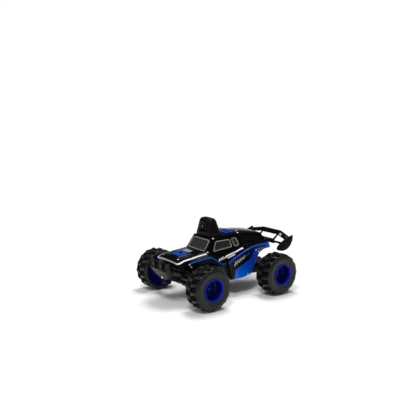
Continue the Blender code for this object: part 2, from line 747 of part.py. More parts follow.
def build_switch(finish):
    """Slider of the power switch, with a flange over the floor. It slides along Y."""
    carrier = pivot("power_switch_slide", (-floor_part_x(), floor_part_y(), FLOOR_Z))
    top = FLOOR_THICK + SEAT_GAP
    half_x, half_y = SWITCH_WIDTH / 2, SWITCH_LENGTH / 2
    stem = make("power_switch", box((-half_x, -half_y, SWITCH_RECESS), (half_x, half_y, top + SWITCH_FLANGE)),
                finish["white"], carrier)
    flange = box((-half_x - SWITCH_FLANGE, -half_y - SWITCH_FLANGE, top),
                 (half_x + SWITCH_FLANGE, half_y + SWITCH_FLANGE, top + SWITCH_FLANGE))
    join(stem, make("guide_switch_flange", flange, finish["white"], carrier))


def build_socket(finish):
    """Charging socket that looks down through the floor."""
    x, y = floor_part_x(), floor_part_y()
    half_x, half_y = SOCKET_WIDTH / 2, SOCKET_LENGTH / 2
    block = make("charge_socket", box((x - half_x, y - half_y, FLOOR_Z),
                                      (x + half_x, y + half_y, FLOOR_Z + SOCKET_HEIGHT)), finish["steel"])
    mouth = box((x - 0.7 * half_x, y - 0.6 * half_y, FLOOR_Z - CUT_MARGIN),
                (x + 0.7 * half_x, y + 0.6 * half_y, FLOOR_Z + 0.7 * SOCKET_HEIGHT))
    cut(block, make("guide_socket_mouth", mouth, finish["steel"]))


# Rear gearbox, motor and axle


def gear_distance():
    return GEAR_MODULE * (SPUR_TEETH + PINION_TEETH) / 2 + GEAR_BACKLASH


def motor_lean():
    """Angle of the line from the axle to the motor above the horizontal."""
    return math.asin(MOTOR_RISE / gear_distance())


def motor_y():
    return REAR_AXLE_Y - gear_distance() * math.cos(motor_lean())


def motor_z():
    return AXLE_Z + MOTOR_RISE


def box_front():
    return motor_y() - MOTOR_RADIUS - 2 * SEAT_GAP - BOX_WALL


def tip_radius(teeth):
    return GEAR_MODULE * (teeth / 2 + 0.9)


def box_reach():
    """Distance from the axle to the gearbox's outside, clear of the spur gear's teeth."""
    return tip_radius(SPUR_TEETH) + 2 * SEAT_GAP + BOX_WALL


def gear_outline(teeth, phase):
    """Outline of a spur gear in its own plane: straight-flanked teeth, slimmer at the tip."""
    pitch_radius = GEAR_MODULE * teeth / 2
    tip, root = tip_radius(teeth), pitch_radius - 1.15 * GEAR_MODULE
    pitch = 2 * math.pi / teeth
    points = []
    for k in range(teeth):
        for share, radius in ((-0.34, root), (-0.11, tip), (0.11, tip), (0.34, root)):
            turn = phase + (k + share) * pitch
            points.append((radius * math.cos(turn), radius * math.sin(turn)))
    return points


def add_gear(name, teeth, phase, low, high, bore, finish, carrier):
    """A spur gear about X between low and high, with a round bore."""
    gear = make(name, prism(gear_outline(teeth, phase), low, high, "X"), finish, carrier)
    hole = rod(bore, low - CUT_MARGIN, high + CUT_MARGIN, "X")
    return cut(gear, make(f"guide_{name}_bore", hole, finish, carrier))


def build_rear_axle(finish):
    """Rear axle with both rear wheels and the spur gear, which all turn together about X."""
    carrier = pivot("rear_axle_line", (0.0, REAR_AXLE_Y, AXLE_Z))
    reach = WHEEL_X + hub_face()
    make("rear_axle", rod(AXLE_RADIUS, -reach, reach, "X"), finish["steel"], carrier)
    low = -SPUR_X - SPUR_WIDTH / 2
    add_gear("spur_gear", SPUR_TEETH, math.pi - motor_lean(), low, low + SPUR_WIDTH,
             AXLE_RADIUS + RUNNING_GAP, finish["white"], carrier)
    for label, side in sides():
        hub = pivot(f"rear_wheel_{label}_centre", (side * WHEEL_X, 0.0, 0.0), carrier)
        build_wheel(f"rear_{label}", side, hub, finish)


def build_motor(finish):
    """Can motor across the truck, ahead of the axle, with its brass pinion in mesh with the spur gear."""
    carrier = pivot("motor_line", (0.0, motor_y(), motor_z()))
    low = -SPUR_X - SPUR_WIDTH / 2 - PINION_EXTRA
    high = low + SPUR_WIDTH + 2 * PINION_EXTRA
    face = high + SEAT_GAP
    back = face + MOTOR_LENGTH
    tail = 0.45 * MOTOR_RADIUS
    profile = [(0.0, face), (MOTOR_RADIUS, face), (MOTOR_RADIUS, back - MM), (tail, back - MM), (tail, back),
               (0.0, back)]
    make("drive_motor", revolve(profile, "X", ROUND_STEPS), finish["steel"], carrier)
    phase = math.pi / PINION_TEETH - motor_lean()
    make("motor_pinion", prism(gear_outline(PINION_TEETH, phase), low, high, "X"), finish["brass"], carrier)


def box_section(low, high, front, rear, cut_low, cut_high):
    """Side outline of a gearbox half, with its free corners cut."""
    return [(front, low + cut_low), (front + cut_low, low), (rear - cut_low, low), (rear, low + cut_low),
            (rear, high - cut_high), (rear - cut_high, high),
            (front + cut_high, high), (front, high - cut_high)]


def build_gearbox(finish):
    """Gearbox in two halves that part at the axle, with an axle tube in each side wall."""
    front, rear = box_front(), REAR_AXLE_Y + box_reach()
    bottom, top = AXLE_Z - box_reach(), motor_z() + MOTOR_RADIUS + 2 * SEAT_GAP + BOX_WALL
    wide, inner_x = BOX_HALF_WIDTH, BOX_HALF_WIDTH - BOX_WALL
    split, corner = SEAT_GAP / 2, 2.0 * MM
    shallow = motor_z() - MOTOR_RADIUS - 2 * SEAT_GAP - BOX_WALL
    gear_front = REAR_AXLE_Y - box_reach()
    sharp = 0.05 * MM
    lower = make("gearbox_lower", prism(box_section(shallow, AXLE_Z - split, front, rear, corner / 2, sharp),
                                        -wide, wide, "X"), finish["tub"])
    sump_in, sump_out = -SPUR_X + SPUR_WIDTH / 2 + SEAT_GAP, -wide
    sump = prism(box_section(bottom, AXLE_Z - 2 * split, gear_front, rear - sharp, corner, sharp),
                 sump_out + sharp, sump_in + BOX_WALL, "X")
    join(lower, make("guide_gear_sump", sump, finish["tub"]))
    upper = make("gearbox_upper", prism(box_section(AXLE_Z + split, top, front, rear, sharp, corner),
                                        -wide, wide, "X"), finish["tub"])
    open_top = AXLE_Z + CUT_MARGIN
    room = box((-inner_x, front + BOX_WALL, shallow + BOX_WALL), (inner_x, rear - BOX_WALL, open_top))
    pit = box((-inner_x, gear_front + BOX_WALL, bottom + BOX_WALL), (sump_in, rear - BOX_WALL, open_top))
    attic = box((-inner_x, front + BOX_WALL, AXLE_Z - CUT_MARGIN), (inner_x, rear - BOX_WALL, top - BOX_WALL))
    cut(lower, make("guide_motor_room", room, finish["tub"]), make("guide_gear_pit", pit, finish["tub"]))
    cut(upper, make("guide_gear_attic", attic, finish["tub"]))
    for half in (lower, upper):
        seat = rod(BUSH_RADIUS + SEAT_GAP, -wide - CUT_MARGIN, wide + CUT_MARGIN, "X", (REAR_AXLE_Y, AXLE_Z))
        cut(half, make(f"guide_{half.name}_seat", seat, finish["tub"]))
    for label, side in sides():
        build_axle_tube(label, side, finish)


def build_axle_tube(label, side, finish):
    """Tube that holds the axle in the gearbox's side and runs out to the wheel's hub."""
    flange = BUSH_RADIUS + 2 * SEAT_GAP + BUSH_FLANGE
    bore = AXLE_RADIUS + RUNNING_GAP
    inside, outside = BOX_HALF_WIDTH - BOX_WALL - SEAT_GAP, BOX_HALF_WIDTH + SEAT_GAP
    hub = WHEEL_X + hub_face() - HUB_PROUD - RIM_DISC - HUB_BACK - SEAT_GAP
    profile = [(bore, inside), (BUSH_RADIUS, inside), (BUSH_RADIUS, outside), (flange, outside),
               (flange, outside + BUSH_FLANGE), (TUBE_RADIUS, outside + 2 * BUSH_FLANGE), (TUBE_RADIUS, hub),
               (bore, hub)]
    profile = [(radius, side * along) for radius, along in profile]
    tube = revolve(profile, "X", ROUND_STEPS, (REAR_AXLE_Y, AXLE_Z))
    make(f"axle_tube_{label}", tube, finish["tub"])


def build_rear_skid(finish):
    """Curved skid behind the gearbox that keeps the tail off the ground."""
    seat = REAR_AXLE_Y + box_reach() + SEAT_GAP
    m = MM
    thick = SKID_THICK
    low, high = AXLE_Z - 3.6 * m, AXLE_Z - 0.6 * m
    reach = seat + 6.2 * m
    tip, top = reach + 0.6 * m, AXLE_Z + 3.4 * m
    outline = [(seat, low), (seat + 3.2 * m, low), (reach, low + 2.4 * m), (tip, top),
               (tip - thick, top), (reach - thick, low + 3.2 * m),
               (seat + 2.6 * m, low + thick), (seat + thick, low + thick), (seat + thick, high), (seat, high)]
    make("rear_skid", prism(outline, -SKID_HALF_WIDTH, SKID_HALF_WIDTH, "X"), finish["tub"])


# Body shell, windows and skirts


def belt_x(z):
    """Half width of the cab's leaning side at a height."""
    return BELT_X - SIDE_LEAN * (z - BELT_Z)


def rib(axle_y, centre, edge, belt, crease, lip):
    """Half rib of the shell, in millimetres from an axle. Centre is (y, z). Edge and belt are (x, y, z), with
    no x on the cab's leaning side. Crease and lip are (distance inside the shell's side, y, z)."""
    points = [(0.0, axle_y + centre[0] * MM, AXLE_Z + centre[1] * MM)]
    for x, y, z in (edge, belt):
        height = AXLE_Z + z * MM
        points.append((belt_x(height) if x is None else x * MM, axle_y + y * MM, height))
    for within, y, z in (crease, lip):
        points.append((SHELL_SIDE_X - within * MM, axle_y + y * MM, AXLE_Z + z * MM))
    return points


def shell_ribs():
    """Half ribs of the shell from nose to tail: centre, roof or hood edge, belt, crease and lower lip."""
    f, r = FRONT_AXLE_Y, REAR_AXLE_Y
    belt = BELT_RISE / MM
    return [
        rib(f, (-11.6, 12.1), (10.4, -11.5, 11.9), (13.7, -11.0, 11.3), (2.2, -8.2, 9.1), (2.0, -7.6, 7.7)),
        rib(f, (-12.3, 15.7), (10.5, -12.1, 15.3), (13.9, -11.6, 14.4), (1.7, -8.6, 12.9), (1.5, -7.8, 10.1)),
        rib(f, (-7.2, 17.5), (10.8, -7.2, 17.2), (14.2, -7.2, 16.2), (0.8, -4.9, 14.0), (0.6, -4.9, 9.1)),
        rib(f, (2.5, 18.7), (10.8, 2.5, 18.4), (14.0, 3.0, 17.3), (0.8, 4.6, 15.3), (0.6, 4.8, 12.1)),
        rib(f, (13.2, 19.5), (11.2, 13.2, 19.4), (13.4, 13.4, 18.1), (0.8, 15.0, 16.4), (0.6, 14.8, 12.7)),
        rib(f, (19.5, 28.6), (None, 19.7, 28.4), (None, 18.5, belt), (0.5, 18.7, 13.9), (0.3, 18.4, 10.7)),
        rib(f, (25.0, 29.0), (None, 25.0, 28.7), (None, 23.5, belt), (0.2, 23.5, 10.2), (0.0, 23.0, 7.9)),
        rib(f, (31.0, 29.4), (None, 31.0, 29.1), (None, 31.0, belt), (0.2, 28.7, 10.8), (0.0, 29.0, 8.1)),
        rib(r, (-19.4, 30.1), (None, -19.6, 29.7), (None, -19.4, 20.1), (0.2, -23.0, 16.1),
            (0.0, -22.6, 12.9)),
        rib(r, (-9.0, 29.1), (None, -9.0, 28.7), (None, -8.0, 21.5), (0.8, -8.8, 20.4), (0.5, -8.6, 17.1)),
        rib(r, (2.3, 27.7), (None, 1.9, 27.4), (None, 3.0, 21.9), (1.7, 3.3, 20.4), (1.4, 3.6, 17.3)),
        rib(r, (7.2, 22.1), (12.2, 7.0, 21.9), (13.2, 6.9, 21.5), (2.4, 6.4, 20.3), (2.1, 6.8, 17.3)),
        rib(r, (8.6, 18.1), (12.2, 8.5, 18.0), (13.2, 8.4, 17.9), (2.5, 8.0, 17.7), (2.2, 7.8, 17.1)),
    ]


def shell_mesh():
    """The shell's outer skin: every rib with its mirror image, joined to the next."""
    bm = bmesh.new()
    rows = []
    for rib in shell_ribs():
        across = mirrored(reversed(rib[1:])) + rib
        rows.append([bm.verts.new(point) for point in across])
    for first, second in zip(rows, rows[1:]):
        for i in range(len(first) - 1):
            bm.faces.new((first[i], first[i + 1], second[i + 1], second[i]))
    return bm


def inset_outline(outline, distance):
    """A convex outline in a plane, moved inwards by a distance on every side."""
    count = len(outline)
    middle = sum((Vector(p) for p in outline), Vector((0.0, 0.0))) / count
    lines = []
    for i in range(count):
        a, b = Vector(outline[i]), Vector(outline[(i + 1) % count])
        along = (b - a).normalized()
        normal = Vector((-along.y, along.x))
        if normal.dot(middle - a) < 0:
            normal = -normal
        lines.append((a + normal * distance, along))
    moved = []
    for i in range(count):
        (p, d), (q, e) = lines[i - 1], lines[i]
        cross = d.x * e.y - d.y * e.x
        t = ((q - p).x * e.y - (q - p).y * e.x) / cross
        moved.append(tuple(p + d * t))
    return moved


def plane_solid(outline, to_space, low, high):
    """An outline in a slanted plane, extruded along that plane's normal. to_space(u, v, w) gives a point."""
    return loft([[to_space(u, v, low) for u, v in outline], [to_space(u, v, high) for u, v in outline]])


def windshield_space(u, v, w):
    """u across, v up the slanted windshield from the hood, w out of it."""
    foot = Vector((0.0, FRONT_AXLE_Y + 13.2 * MM, AXLE_Z + 19.45 * MM))
    up = Vector((0.0, 6.3, 9.1)).normalized()
    out = Vector((0.0, -up.z, up.y))
    return foot + Vector((u, 0.0, 0.0)) + up * v + out * w


def side_space(side):
    """u rearwards from the front axle, v up the leaning side from the belt, w out of it."""
    up = Vector((-SIDE_LEAN, 0.0, 1.0)).normalized()
    out = Vector((up.z, 0.0, -up.x))

    def to_space(u, v, w):
        point = Vector((BELT_X, FRONT_AXLE_Y + u, BELT_Z)) + up * v + out * w
        return Vector((side * point.x, point.y, point.z))

    return to_space


def quarter_outline():
    """Small window behind the door, in the plane of the leaning side."""
    m = MM
    return [(39.4 * m, 1.3 * m), (43.4 * m, 2.2 * m), (41.2 * m, 7.8 * m), (37.0 * m, 7.3 * m)]


def window_outlines():
    """Openings in the shell: outline, the plane that it lies in, and its name."""
    m = MM
    front = [(-10.2 * m, 0.5 * m), (10.2 * m, 0.5 * m), (9.7 * m, 9.0 * m), (-9.7 * m, 9.0 * m)]
    door = [(19.2 * m, 0.4 * m), (36.3 * m, 1.6 * m), (35.0 * m, 7.1 * m), (22.4 * m, 7.0 * m)]
    quarter = quarter_outline()
    found = [("windshield", front, windshield_space)]
    for label, side in sides():
        found.append((f"door_window_{label}", door, side_space(side)))
        found.append((f"quarter_window_{label}", quarter, side_space(side)))
    return found


def bed_ends():
    """Front and rear of the engine panel: a post behind the quarter window, and the rear axle."""
    return max(u for u, v in quarter_outline()) + CAB_POST, REAR_AXLE_Y - FRONT_AXLE_Y


def bed_outline():
    """Recessed engine panel beside the load bed, in the plane of the leaning side."""
    m = MM
    near, far = bed_ends()
    return [(near, 2.2 * m), (far + 1.6 * m, 3.4 * m), (far + 0.2 * m, 7.6 * m), (near, 9.2 * m)]


def hood_z(y):
    """Height of the hood's crown line at a place along the truck."""
    crown = [ribs[0] for ribs in shell_ribs()[1:5]]
    for first, second in zip(crown, crown[1:]):
        if y <= second[1]:
            share = (y - first[1]) / (second[1] - first[1])
            return first[2] + share * (second[2] - first[2])
    return crown[-1][2]


def hood_panel_loop(y, half_width, rise):
    """Section of the raised hood panel at a place along the truck, sunk into the shell below."""
    crown = hood_z(y)
    edge = crown - HOOD_CROWN
    low = edge - 0.5 * SHELL_WALL
    slope = 0.5 * HOOD_PANEL_RISE
    shoulder, top = edge + 0.4 * rise, edge + rise
    return [(-half_width, y, low), (half_width, y, low), (half_width, y, shoulder),
            (half_width - slope, y, top), (0.0, y, crown + rise), (slope - half_width, y, top),
            (-half_width, y, shoulder)]


def build_hood_panel(shell, finish):
    """Raised panel along the middle of the hood, with a post for the body clip."""
    front, rear = FRONT_AXLE_Y - HOOD_PANEL_FRONT, FRONT_AXLE_Y + HOOD_PANEL_REAR
    ramp, foot = HOOD_PANEL_RISE, 0.15 * HOOD_PANEL_RISE
    stations = [(front, foot), (front + ramp, HOOD_PANEL_RISE)]
    stations += [(ribs[0][1], HOOD_PANEL_RISE) for ribs in shell_ribs()[2:4]]
    stations += [(rear - ramp, HOOD_PANEL_RISE), (rear, foot)]
    loops = []
    for y, rise in stations:
        along = (y - front) / (rear - front)
        half_width = HOOD_PANEL_HALF_FRONT + along * (HOOD_PANEL_HALF_REAR - HOOD_PANEL_HALF_FRONT)
        loops.append(hood_panel_loop(y, half_width, rise))
    join(shell, make("guide_hood_panel", loft(loops), finish["shell"]))
    y = FRONT_AXLE_Y - HOOD_POST_AHEAD
    low, high = hood_z(y) - 0.5 * SHELL_WALL, hood_z(y) + HOOD_PANEL_RISE + HOOD_POST_RISE
    join(shell, make("guide_hood_post", rod(HOOD_POST_RADIUS, low, high, "Z", (0.0, y), 12), finish["shell"]))


def build_shell(finish):
    """Thin moulded shell with openings, the windows and engine panels in them."""
    shell = make("body_shell", shell_mesh(), finish["shell"])
    wall = shell.modifiers.new("wall", "SOLIDIFY")
    wall.thickness = SHELL_WALL
    wall.offset = -1.0
    wall.use_even_offset = True
    build_hood_panel(shell, finish)
    through = 3 * SHELL_WALL
    for name, outline, to_space in window_outlines():
        hole = plane_solid(outline, to_space, -through, through)
        cut(shell, make(f"guide_{name}_hole", hole, finish["window"]))
        pane = inset_outline(outline, SEAT_GAP)
        make(name, plane_solid(pane, to_space, -SHELL_WALL, WINDOW_THICK - SHELL_WALL), finish["window"])
    for label, side in sides():
        to_space = side_space(side)
        hole = plane_solid(bed_outline(), to_space, -through, through)
        cut(shell, make(f"guide_bed_{label}_hole", hole, finish["tub"]))
        build_bed_panel(label, to_space, finish)


def build_bed_panel(label, to_space, finish):
    """Engine panel set back in the shell's side, with moulded cylinder blocks standing on it."""
    m = MM
    outline = inset_outline(bed_outline(), SEAT_GAP)
    back = -1.4 * SHELL_WALL
    panel = make(f"engine_panel_{label}", plane_solid(outline, to_space, back, back + 0.6 * m), finish["tub"])
    near, far = bed_ends()
    stretch = (far - near) / ENGINE_DRAWN_LENGTH
    for k, (start, width, low, high) in enumerate(((1.8, 1.2, 3.2, 8.0), (4.8, 6.4, 5.6, 7.4),
                                                   (5.4, 5.2, 3.6, 4.8), (12.8, 3.0, 4.6, 7.0))):
        left, right = near + start * m * stretch, near + (start + width) * m * stretch
        block = [(left, low * m), (right, low * m), (right, high * m), (left, high * m)]
        block = plane_solid(block, to_space, back + 0.3 * m, -0.2 * SHELL_WALL)
        join(panel, make(f"guide_engine_{label}_{k}", block, finish["tub"]))


def lip_x(y):
    """Half width of the shell's lower lip at a place along the truck."""
    lips = [rib[-1] for rib in shell_ribs()]
    for first, second in zip(lips, lips[1:]):
        if y <= second[1]:
            share = (y - first[1]) / (second[1] - first[1])
            return first[0] + share * (second[0] - first[0])
    return lips[-1][0]


def skirt_stations():
    """Top and bottom edges of the side skirt from front to rear, as (place, height, outward reach)."""
    f, r, a = FRONT_AXLE_Y, REAR_AXLE_Y, AXLE_Z
    m = MM
    rim, foot = 0.7 * m, SKIRT_X - SHELL_SIDE_X - SEAT_GAP
    return [
        ((f + 28.8 * m, a + 9.5 * m, rim), (f + 30.8 * m, a - 2.5 * m, foot - 0.2 * m)),
        ((f + 31.5 * m, a + 11.8 * m, rim), (f + 34.5 * m, a - 2.5 * m, foot)),
        ((f + 36.0 * m, a + 13.7 * m, rim), (f + 39.5 * m, a - 2.5 * m, foot)),
        ((r - 23.0 * m, a + 15.7 * m, rim), (r - 20.0 * m, a - 2.2 * m, foot)),
        ((r - 18.0 * m, a + 17.5 * m, rim), (r - 15.8 * m, a - 1.0 * m, foot - 0.2 * m)),
        ((r - 13.5 * m, a + 19.0 * m, rim), (r - 11.8 * m, a + 1.7 * m, foot - 0.7 * m)),
        ((r - 8.8 * m, a + 19.9 * m, rim), (r - 7.7 * m, a + 8.8 * m, foot - 1.2 * m)),
        ((r - 3.0 * m, a + 20.0 * m, rim), (r - 4.0 * m, a + 13.7 * m, foot - 1.5 * m)),
        ((r + 3.0 * m, a + 19.9 * m, rim), (r + 1.0 * m, a + 15.5 * m, foot - 1.7 * m)),
        ((r + 6.2 * m, a + 20.4 * m, rim), (r + 8.6 * m, a + 15.7 * m, foot - 1.7 * m)),
    ]


def build_skirt(label, side, finish):
    """Blue side skirt: a curved wedge against the shell, thick at its foot."""
    loops = []
    for (top_y, top_z, rim), (low_y, low_z, foot) in skirt_stations():
        top_seat, low_seat = lip_x(top_y) + SEAT_GAP, lip_x(low_y) + SEAT_GAP
        corners = ((top_seat + rim, top_y, top_z), (low_seat + foot, low_y, low_z),
                   (low_seat, low_y, low_z), (top_seat, top_y, top_z))
        loops.append([(side * x, y, z) for x, y, z in corners])
    make(f"side_skirt_{label}", loft(loops), finish["blue"])


# Roof camera


def roof_z(y):
    """Height of the roof's crown line at a place along the truck."""
    front, rear = FRONT_AXLE_Y + 19.5 * MM, REAR_AXLE_Y - 19.4 * MM
    share = (y - front) / (rear - front)
    return AXLE_Z + 28.6 * MM + share * 1.5 * MM


def pod_loop(half_width, front, rear, z, corner):
    """Plan of the camera pod at a height, with its corners cut."""
    half = [(half_width - corner, front), (half_width, front + corner), (half_width, rear - corner),
            (half_width - corner, rear)]
    outline = half + [(-x, y) for x, y in reversed(half)]
    return [(x, y, z if z is not None else roof_z(y) + SEAT_GAP) for x, y in outline]


def build_pod(finish):
    """Camera pod on the roof: a tapered block with a domed top and an open window for the camera."""
    f = FRONT_AXLE_Y
    m = MM
    base, top = POD_BASE_HALF_WIDTH, POD_TOP_HALF_WIDTH
    loops = [
        pod_loop(base, f + 19.9 * m, f + 30.2 * m, None, 1.2 * m),
        pod_loop(base - 0.3 * m, f + 20.0 * m, f + 29.9 * m, AXLE_Z + 30.7 * m, 1.2 * m),
        pod_loop(top + 0.2 * m, f + 20.8 * m, f + 27.8 * m, POD_TOP_Z - 2.2 * m, 1.2 * m),
        pod_loop(top - 0.6 * m, f + 21.3 * m, f + 27.2 * m, POD_TOP_Z - 0.7 * m, 1.4 * m),
        pod_loop(top - 2.2 * m, f + 22.6 * m, f + 26.0 * m, POD_TOP_Z, 1.2 * m),
    ]
    pod = make("camera_pod", loft(loops), finish["tub"])
    axis = (f + CAMERA_FROM_AXLE, CAMERA_Z)
    half_x = CAMERA_HALF_WIDTH + POD_WINDOW_GAP
    tall = CAMERA_HALF_HEIGHT + 1.5 * m
    window_top = CAMERA_Z + CAMERA_HALF_HEIGHT + 0.9 * m
    window = box((-half_x, f + 15.0 * m, CAMERA_Z - tall), (half_x, axis[0], window_top))
    seat = rod(CAMERA_BARREL + POD_WINDOW_GAP, -half_x, half_x, "X", axis)
    pins = rod(TRUNNION_RADIUS + RUNNING_GAP, -half_x - 0.9 * m, half_x + 0.9 * m, "X", axis)
    for label, solid in (("window", window), ("seat", seat), ("pins", pins)):
        cut(pod, make(f"guide_pod_{label}", solid, finish["tub"]))


def build_camera(finish):
    """Camera block on two trunnions that tilts in the pod, with its lens. It turns about X."""
    carrier = pivot("camera_tilt_axis", (0.0, FRONT_AXLE_Y + CAMERA_FROM_AXLE, CAMERA_Z))
    reach, tall, barrel = CAMERA_REACH, CAMERA_HALF_HEIGHT, CAMERA_BARREL
    outline = [(-reach, -tall), (-reach, tall)]
    outline += [(barrel * math.sin(t), barrel * math.cos(t)) for t in
                (math.pi * k / 8 for k in range(9))]
    block = prism(outline, -CAMERA_HALF_WIDTH, CAMERA_HALF_WIDTH, "X")
    camera = make("camera_block", block, finish["tub"], carrier)
    pins = rod(TRUNNION_RADIUS, -CAMERA_HALF_WIDTH - 1.0 * MM, CAMERA_HALF_WIDTH + 1.0 * MM, "X")
    join(camera, make("guide_trunnions", pins, finish["tub"], carrier))
    drop = 0.7 * MM
    well = rod(LENS_RADIUS + SEAT_GAP, -reach - CUT_MARGIN, 0.8 * MM - reach, "Y", (0.0, -drop))
    cut(camera, make("guide_lens_well", well, finish["tub"], carrier))
    back = 0.8 * MM - reach - SEAT_GAP
    front = -reach - LENS_PROUD
    lens = revolve([(0.0, back), (LENS_RADIUS, back), (LENS_RADIUS, front + 0.5 * LENS_PROUD),
                    (0.6 * LENS_RADIUS, front), (0.0, front)], "Y", ROUND_STEPS, (0.0, -drop))
    make("camera_lens", lens, finish["glass"], carrier)


# Front bumper


def bumper_level(half_width, reach, z, corner):
    """Plan of the bumper's shield at a height: reach is how far ahead of the axle its face lies."""
    face, back = FRONT_AXLE_Y - reach, FRONT_AXLE_Y - reach + BUMPER_THICK
    half = [(half_width - corner, face), (half_width, face + 0.8 * corner), (half_width, back + 0.8 * corner),
            (half_width - corner, back)]
    return [(x, y, z) for x, y in half + [(-x, y) for x, y in reversed(half)]]


def build_bumper(finish):
    """Shield-shaped bumper with two lamp cans in a recess, side bars and a neck bolted to the tub's nose."""
    f, a = FRONT_AXLE_Y, AXLE_Z
    m = MM
    lamp_face = FRONT_OVERHANG
    nose = f - lamp_face
    loops = [
        bumper_level(3.4 * m, lamp_face - 5.6 * m, a + 1.7 * m, 1.0 * m),
        bumper_level(11.2 * m, lamp_face - 3.4 * m, a + 6.1 * m, 2.0 * m),
        bumper_level(13.2 * m, lamp_face - 1.8 * m, a + 9.1 * m, 2.4 * m),
        bumper_level(12.4 * m, lamp_face - 0.9 * m, LAMP_Z + BUMPER_TOP_RISE, 2.4 * m),
    ]
    bumper = make("front_bumper", loft(loops), finish["tub"])
    low, high = LAMP_Z - LAMP_RECESS_DROP, LAMP_Z + BUMPER_TOP_RISE - LAMP_RECESS_EDGE
    recess = [(-8.4 * m, low), (8.4 * m, low), (10.6 * m, low + 1.6 * m), (9.6 * m, high), (-9.6 * m, high),
              (-10.6 * m, low + 1.6 * m)]
    recess = prism(recess, nose - CUT_MARGIN, nose + LAMP_RECESS_BACK, "Y")
    cut(bumper, make("guide_lamp_recess", recess, finish["tub"]))
    bar_face, bar_end, bar_bend = nose + 4.0 * m, 17.2 * m, 10.0 * m
    sweep, bar = 4.2 * m, 2.2 * m
    swept, tip = bar_face + sweep, bar_face + sweep + 2.0 * m
    ahead = [(-bar_end, swept), (-bar_bend, bar_face), (bar_bend, bar_face), (bar_end, swept)]
    behind = [(bar_end, tip), (bar_bend, bar_face + bar), (-bar_bend, bar_face + bar), (-bar_end, tip)]
    bar = prism(ahead + behind, a + 6.5 * m, a + 8.7 * m, "Z")
    join(bumper, make("guide_bumper_bar", bar, finish["tub"]))
    neck = [
        neck_loop(6.0 * m, f - TUB_NOSE_REACH - SEAT_GAP, FLOOR_Z + NOSE_RAMP,
                  f - TUB_NOSE_REACH - SEAT_GAP, TUB_NOSE_TOP_Z),
        neck_loop(4.5 * m, nose + 4.9 * m, a + 3.0 * m, nose + 4.2 * m, a + 7.9 * m),
    ]
    join(bumper, make("guide_bumper_neck", loft(neck), finish["tub"]))
    for label, side in sides():
        spot = (side * LAMP_X, LAMP_Z)
        can = rod(LAMP_RADIUS, nose, nose + 3.4 * m, "Y", spot)
        join(bumper, make(f"guide_lamp_can_{label}", can, finish["tub"]))
    pocket = rod(BUMPER_SCREW_RADIUS + SEAT_GAP, nose, screw_seat_y(), "Y", (0.0, BUMPER_SCREW_Z))
    cut(bumper, make("guide_screw_pocket", pocket, finish["tub"]))
    for label, side in sides():
        spot = (side * LAMP_X, LAMP_Z)
        well = rod(LAMP_RADIUS - LAMP_WALL, nose - CUT_MARGIN, nose + LAMP_DEPTH, "Y", spot)
        cut(bumper, make(f"guide_lamp_well_{label}", well, finish["tub"]))
        back, front = nose + LAMP_DEPTH - SEAT_GAP, nose + 0.4 * LAMP_DEPTH
        radius = LAMP_RADIUS - LAMP_WALL - SEAT_GAP
        dome = [(0.0, back), (radius, back), (radius, front + 0.3 * LAMP_DEPTH), (0.6 * radius, front),
                (0.0, front - 0.1 * LAMP_DEPTH)]
        make(f"headlamp_{label}", revolve(dome, "Y", ROUND_STEPS, spot), finish["lens"])


def neck_loop(half_width, low_y, low_z, high_y, high_z):
    """Four corners across the truck, from a low edge to a high one."""
    return [(-half_width, low_y, low_z), (half_width, low_y, low_z), (half_width, high_y, high_z),
            (-half_width, high_y, high_z)]


def screw_seat_y():
    """Floor of the pocket in the bumper's foot that takes the screw's head."""
    return FRONT_AXLE_Y - FRONT_OVERHANG + 5.4 * MM


def build_bumper_screw(finish):
    """Screw in the foot of the bumper, its head facing forwards."""
    seat = screw_seat_y() - SEAT_GAP
    crown = seat - 0.6 * MM
    radius = BUMPER_SCREW_RADIUS
    head = [(0.0, seat), (radius, seat), (radius, seat - 0.3 * MM), (0.6 * radius, crown), (0.0, crown)]
    make("bumper_screw", revolve(head, "Y", ROUND_STEPS, (0.0, BUMPER_SCREW_Z)), finish["steel"])


# Rear wing


def wing_sections():
    """Chord lines of the wing as (x, leading edge, trailing edge), each edge as (y, z)."""
    r, a = REAR_AXLE_Y, AXLE_Z
    m = MM
    tail = r + REAR_OVERHANG
    middle = ((tail - 3.7 * m, a + 22.7 * m), (tail, a + 25.7 * m))
    outer = ((tail - 7.4 * m, a + 20.9 * m), (tail - 3.2 * m, a + 23.3 * m))
    left = [(WING_BEND_X, *middle), (WING_HALF_SPAN, *outer)]
    return [(-WING_HALF_SPAN, *outer), (-WING_BEND_X, *middle)] + left


def wing_loop(x, lead, trail):
    """Thin blade section: round-nosed, with a sharp trailing edge and a flat underside."""
    (y0, z0), (y1, z1) = lead, trail
    chord = Vector((y1 - y0, z1 - z0))
    normal = Vector((-chord.y, chord.x)).normalized()
    half = WING_THICK / 2
    points = []
    for share, lift in ((0.0, -0.6), (0.25, -1.0), (1.0, -0.0), (0.85, 0.6), (0.25, 1.0), (0.0, 0.6)):
        spot = Vector((y0, z0)) + chord * share + normal * (half * lift)
        points.append((x, spot.x, spot.y))
    return points


def build_wing(finish):
    make("wing_blade", loft([wing_loop(*section) for section in wing_sections()]), finish["shell"])
    tail = REAR_AXLE_Y + REAR_OVERHANG
    m = MM
    outline = [(-0.6, 24.4), (-0.1, 22.6), (-0.6, 19.9), (-1.9, 17.4), (-3.8, 15.2), (-6.2, 13.7),
               (-9.4, 13.0), (-12.6, 13.2), (-15.9, 14.2), (-16.8, 15.4), (-16.2, 17.2), (-13.2, 19.6),
               (-9.7, 21.4), (-5.0, 23.0)]
    outline = [(tail + y * m, AXLE_Z + z * m) for y, z in outline]
    for label, side in sides():
        inner = WING_HALF_SPAN + SEAT_GAP
        ends = sorted((side * inner, side * (inner + ENDPLATE_THICK)))
        make(f"wing_endplate_{label}", prism(outline, ends[0], ends[1], "X"), finish["shell"])


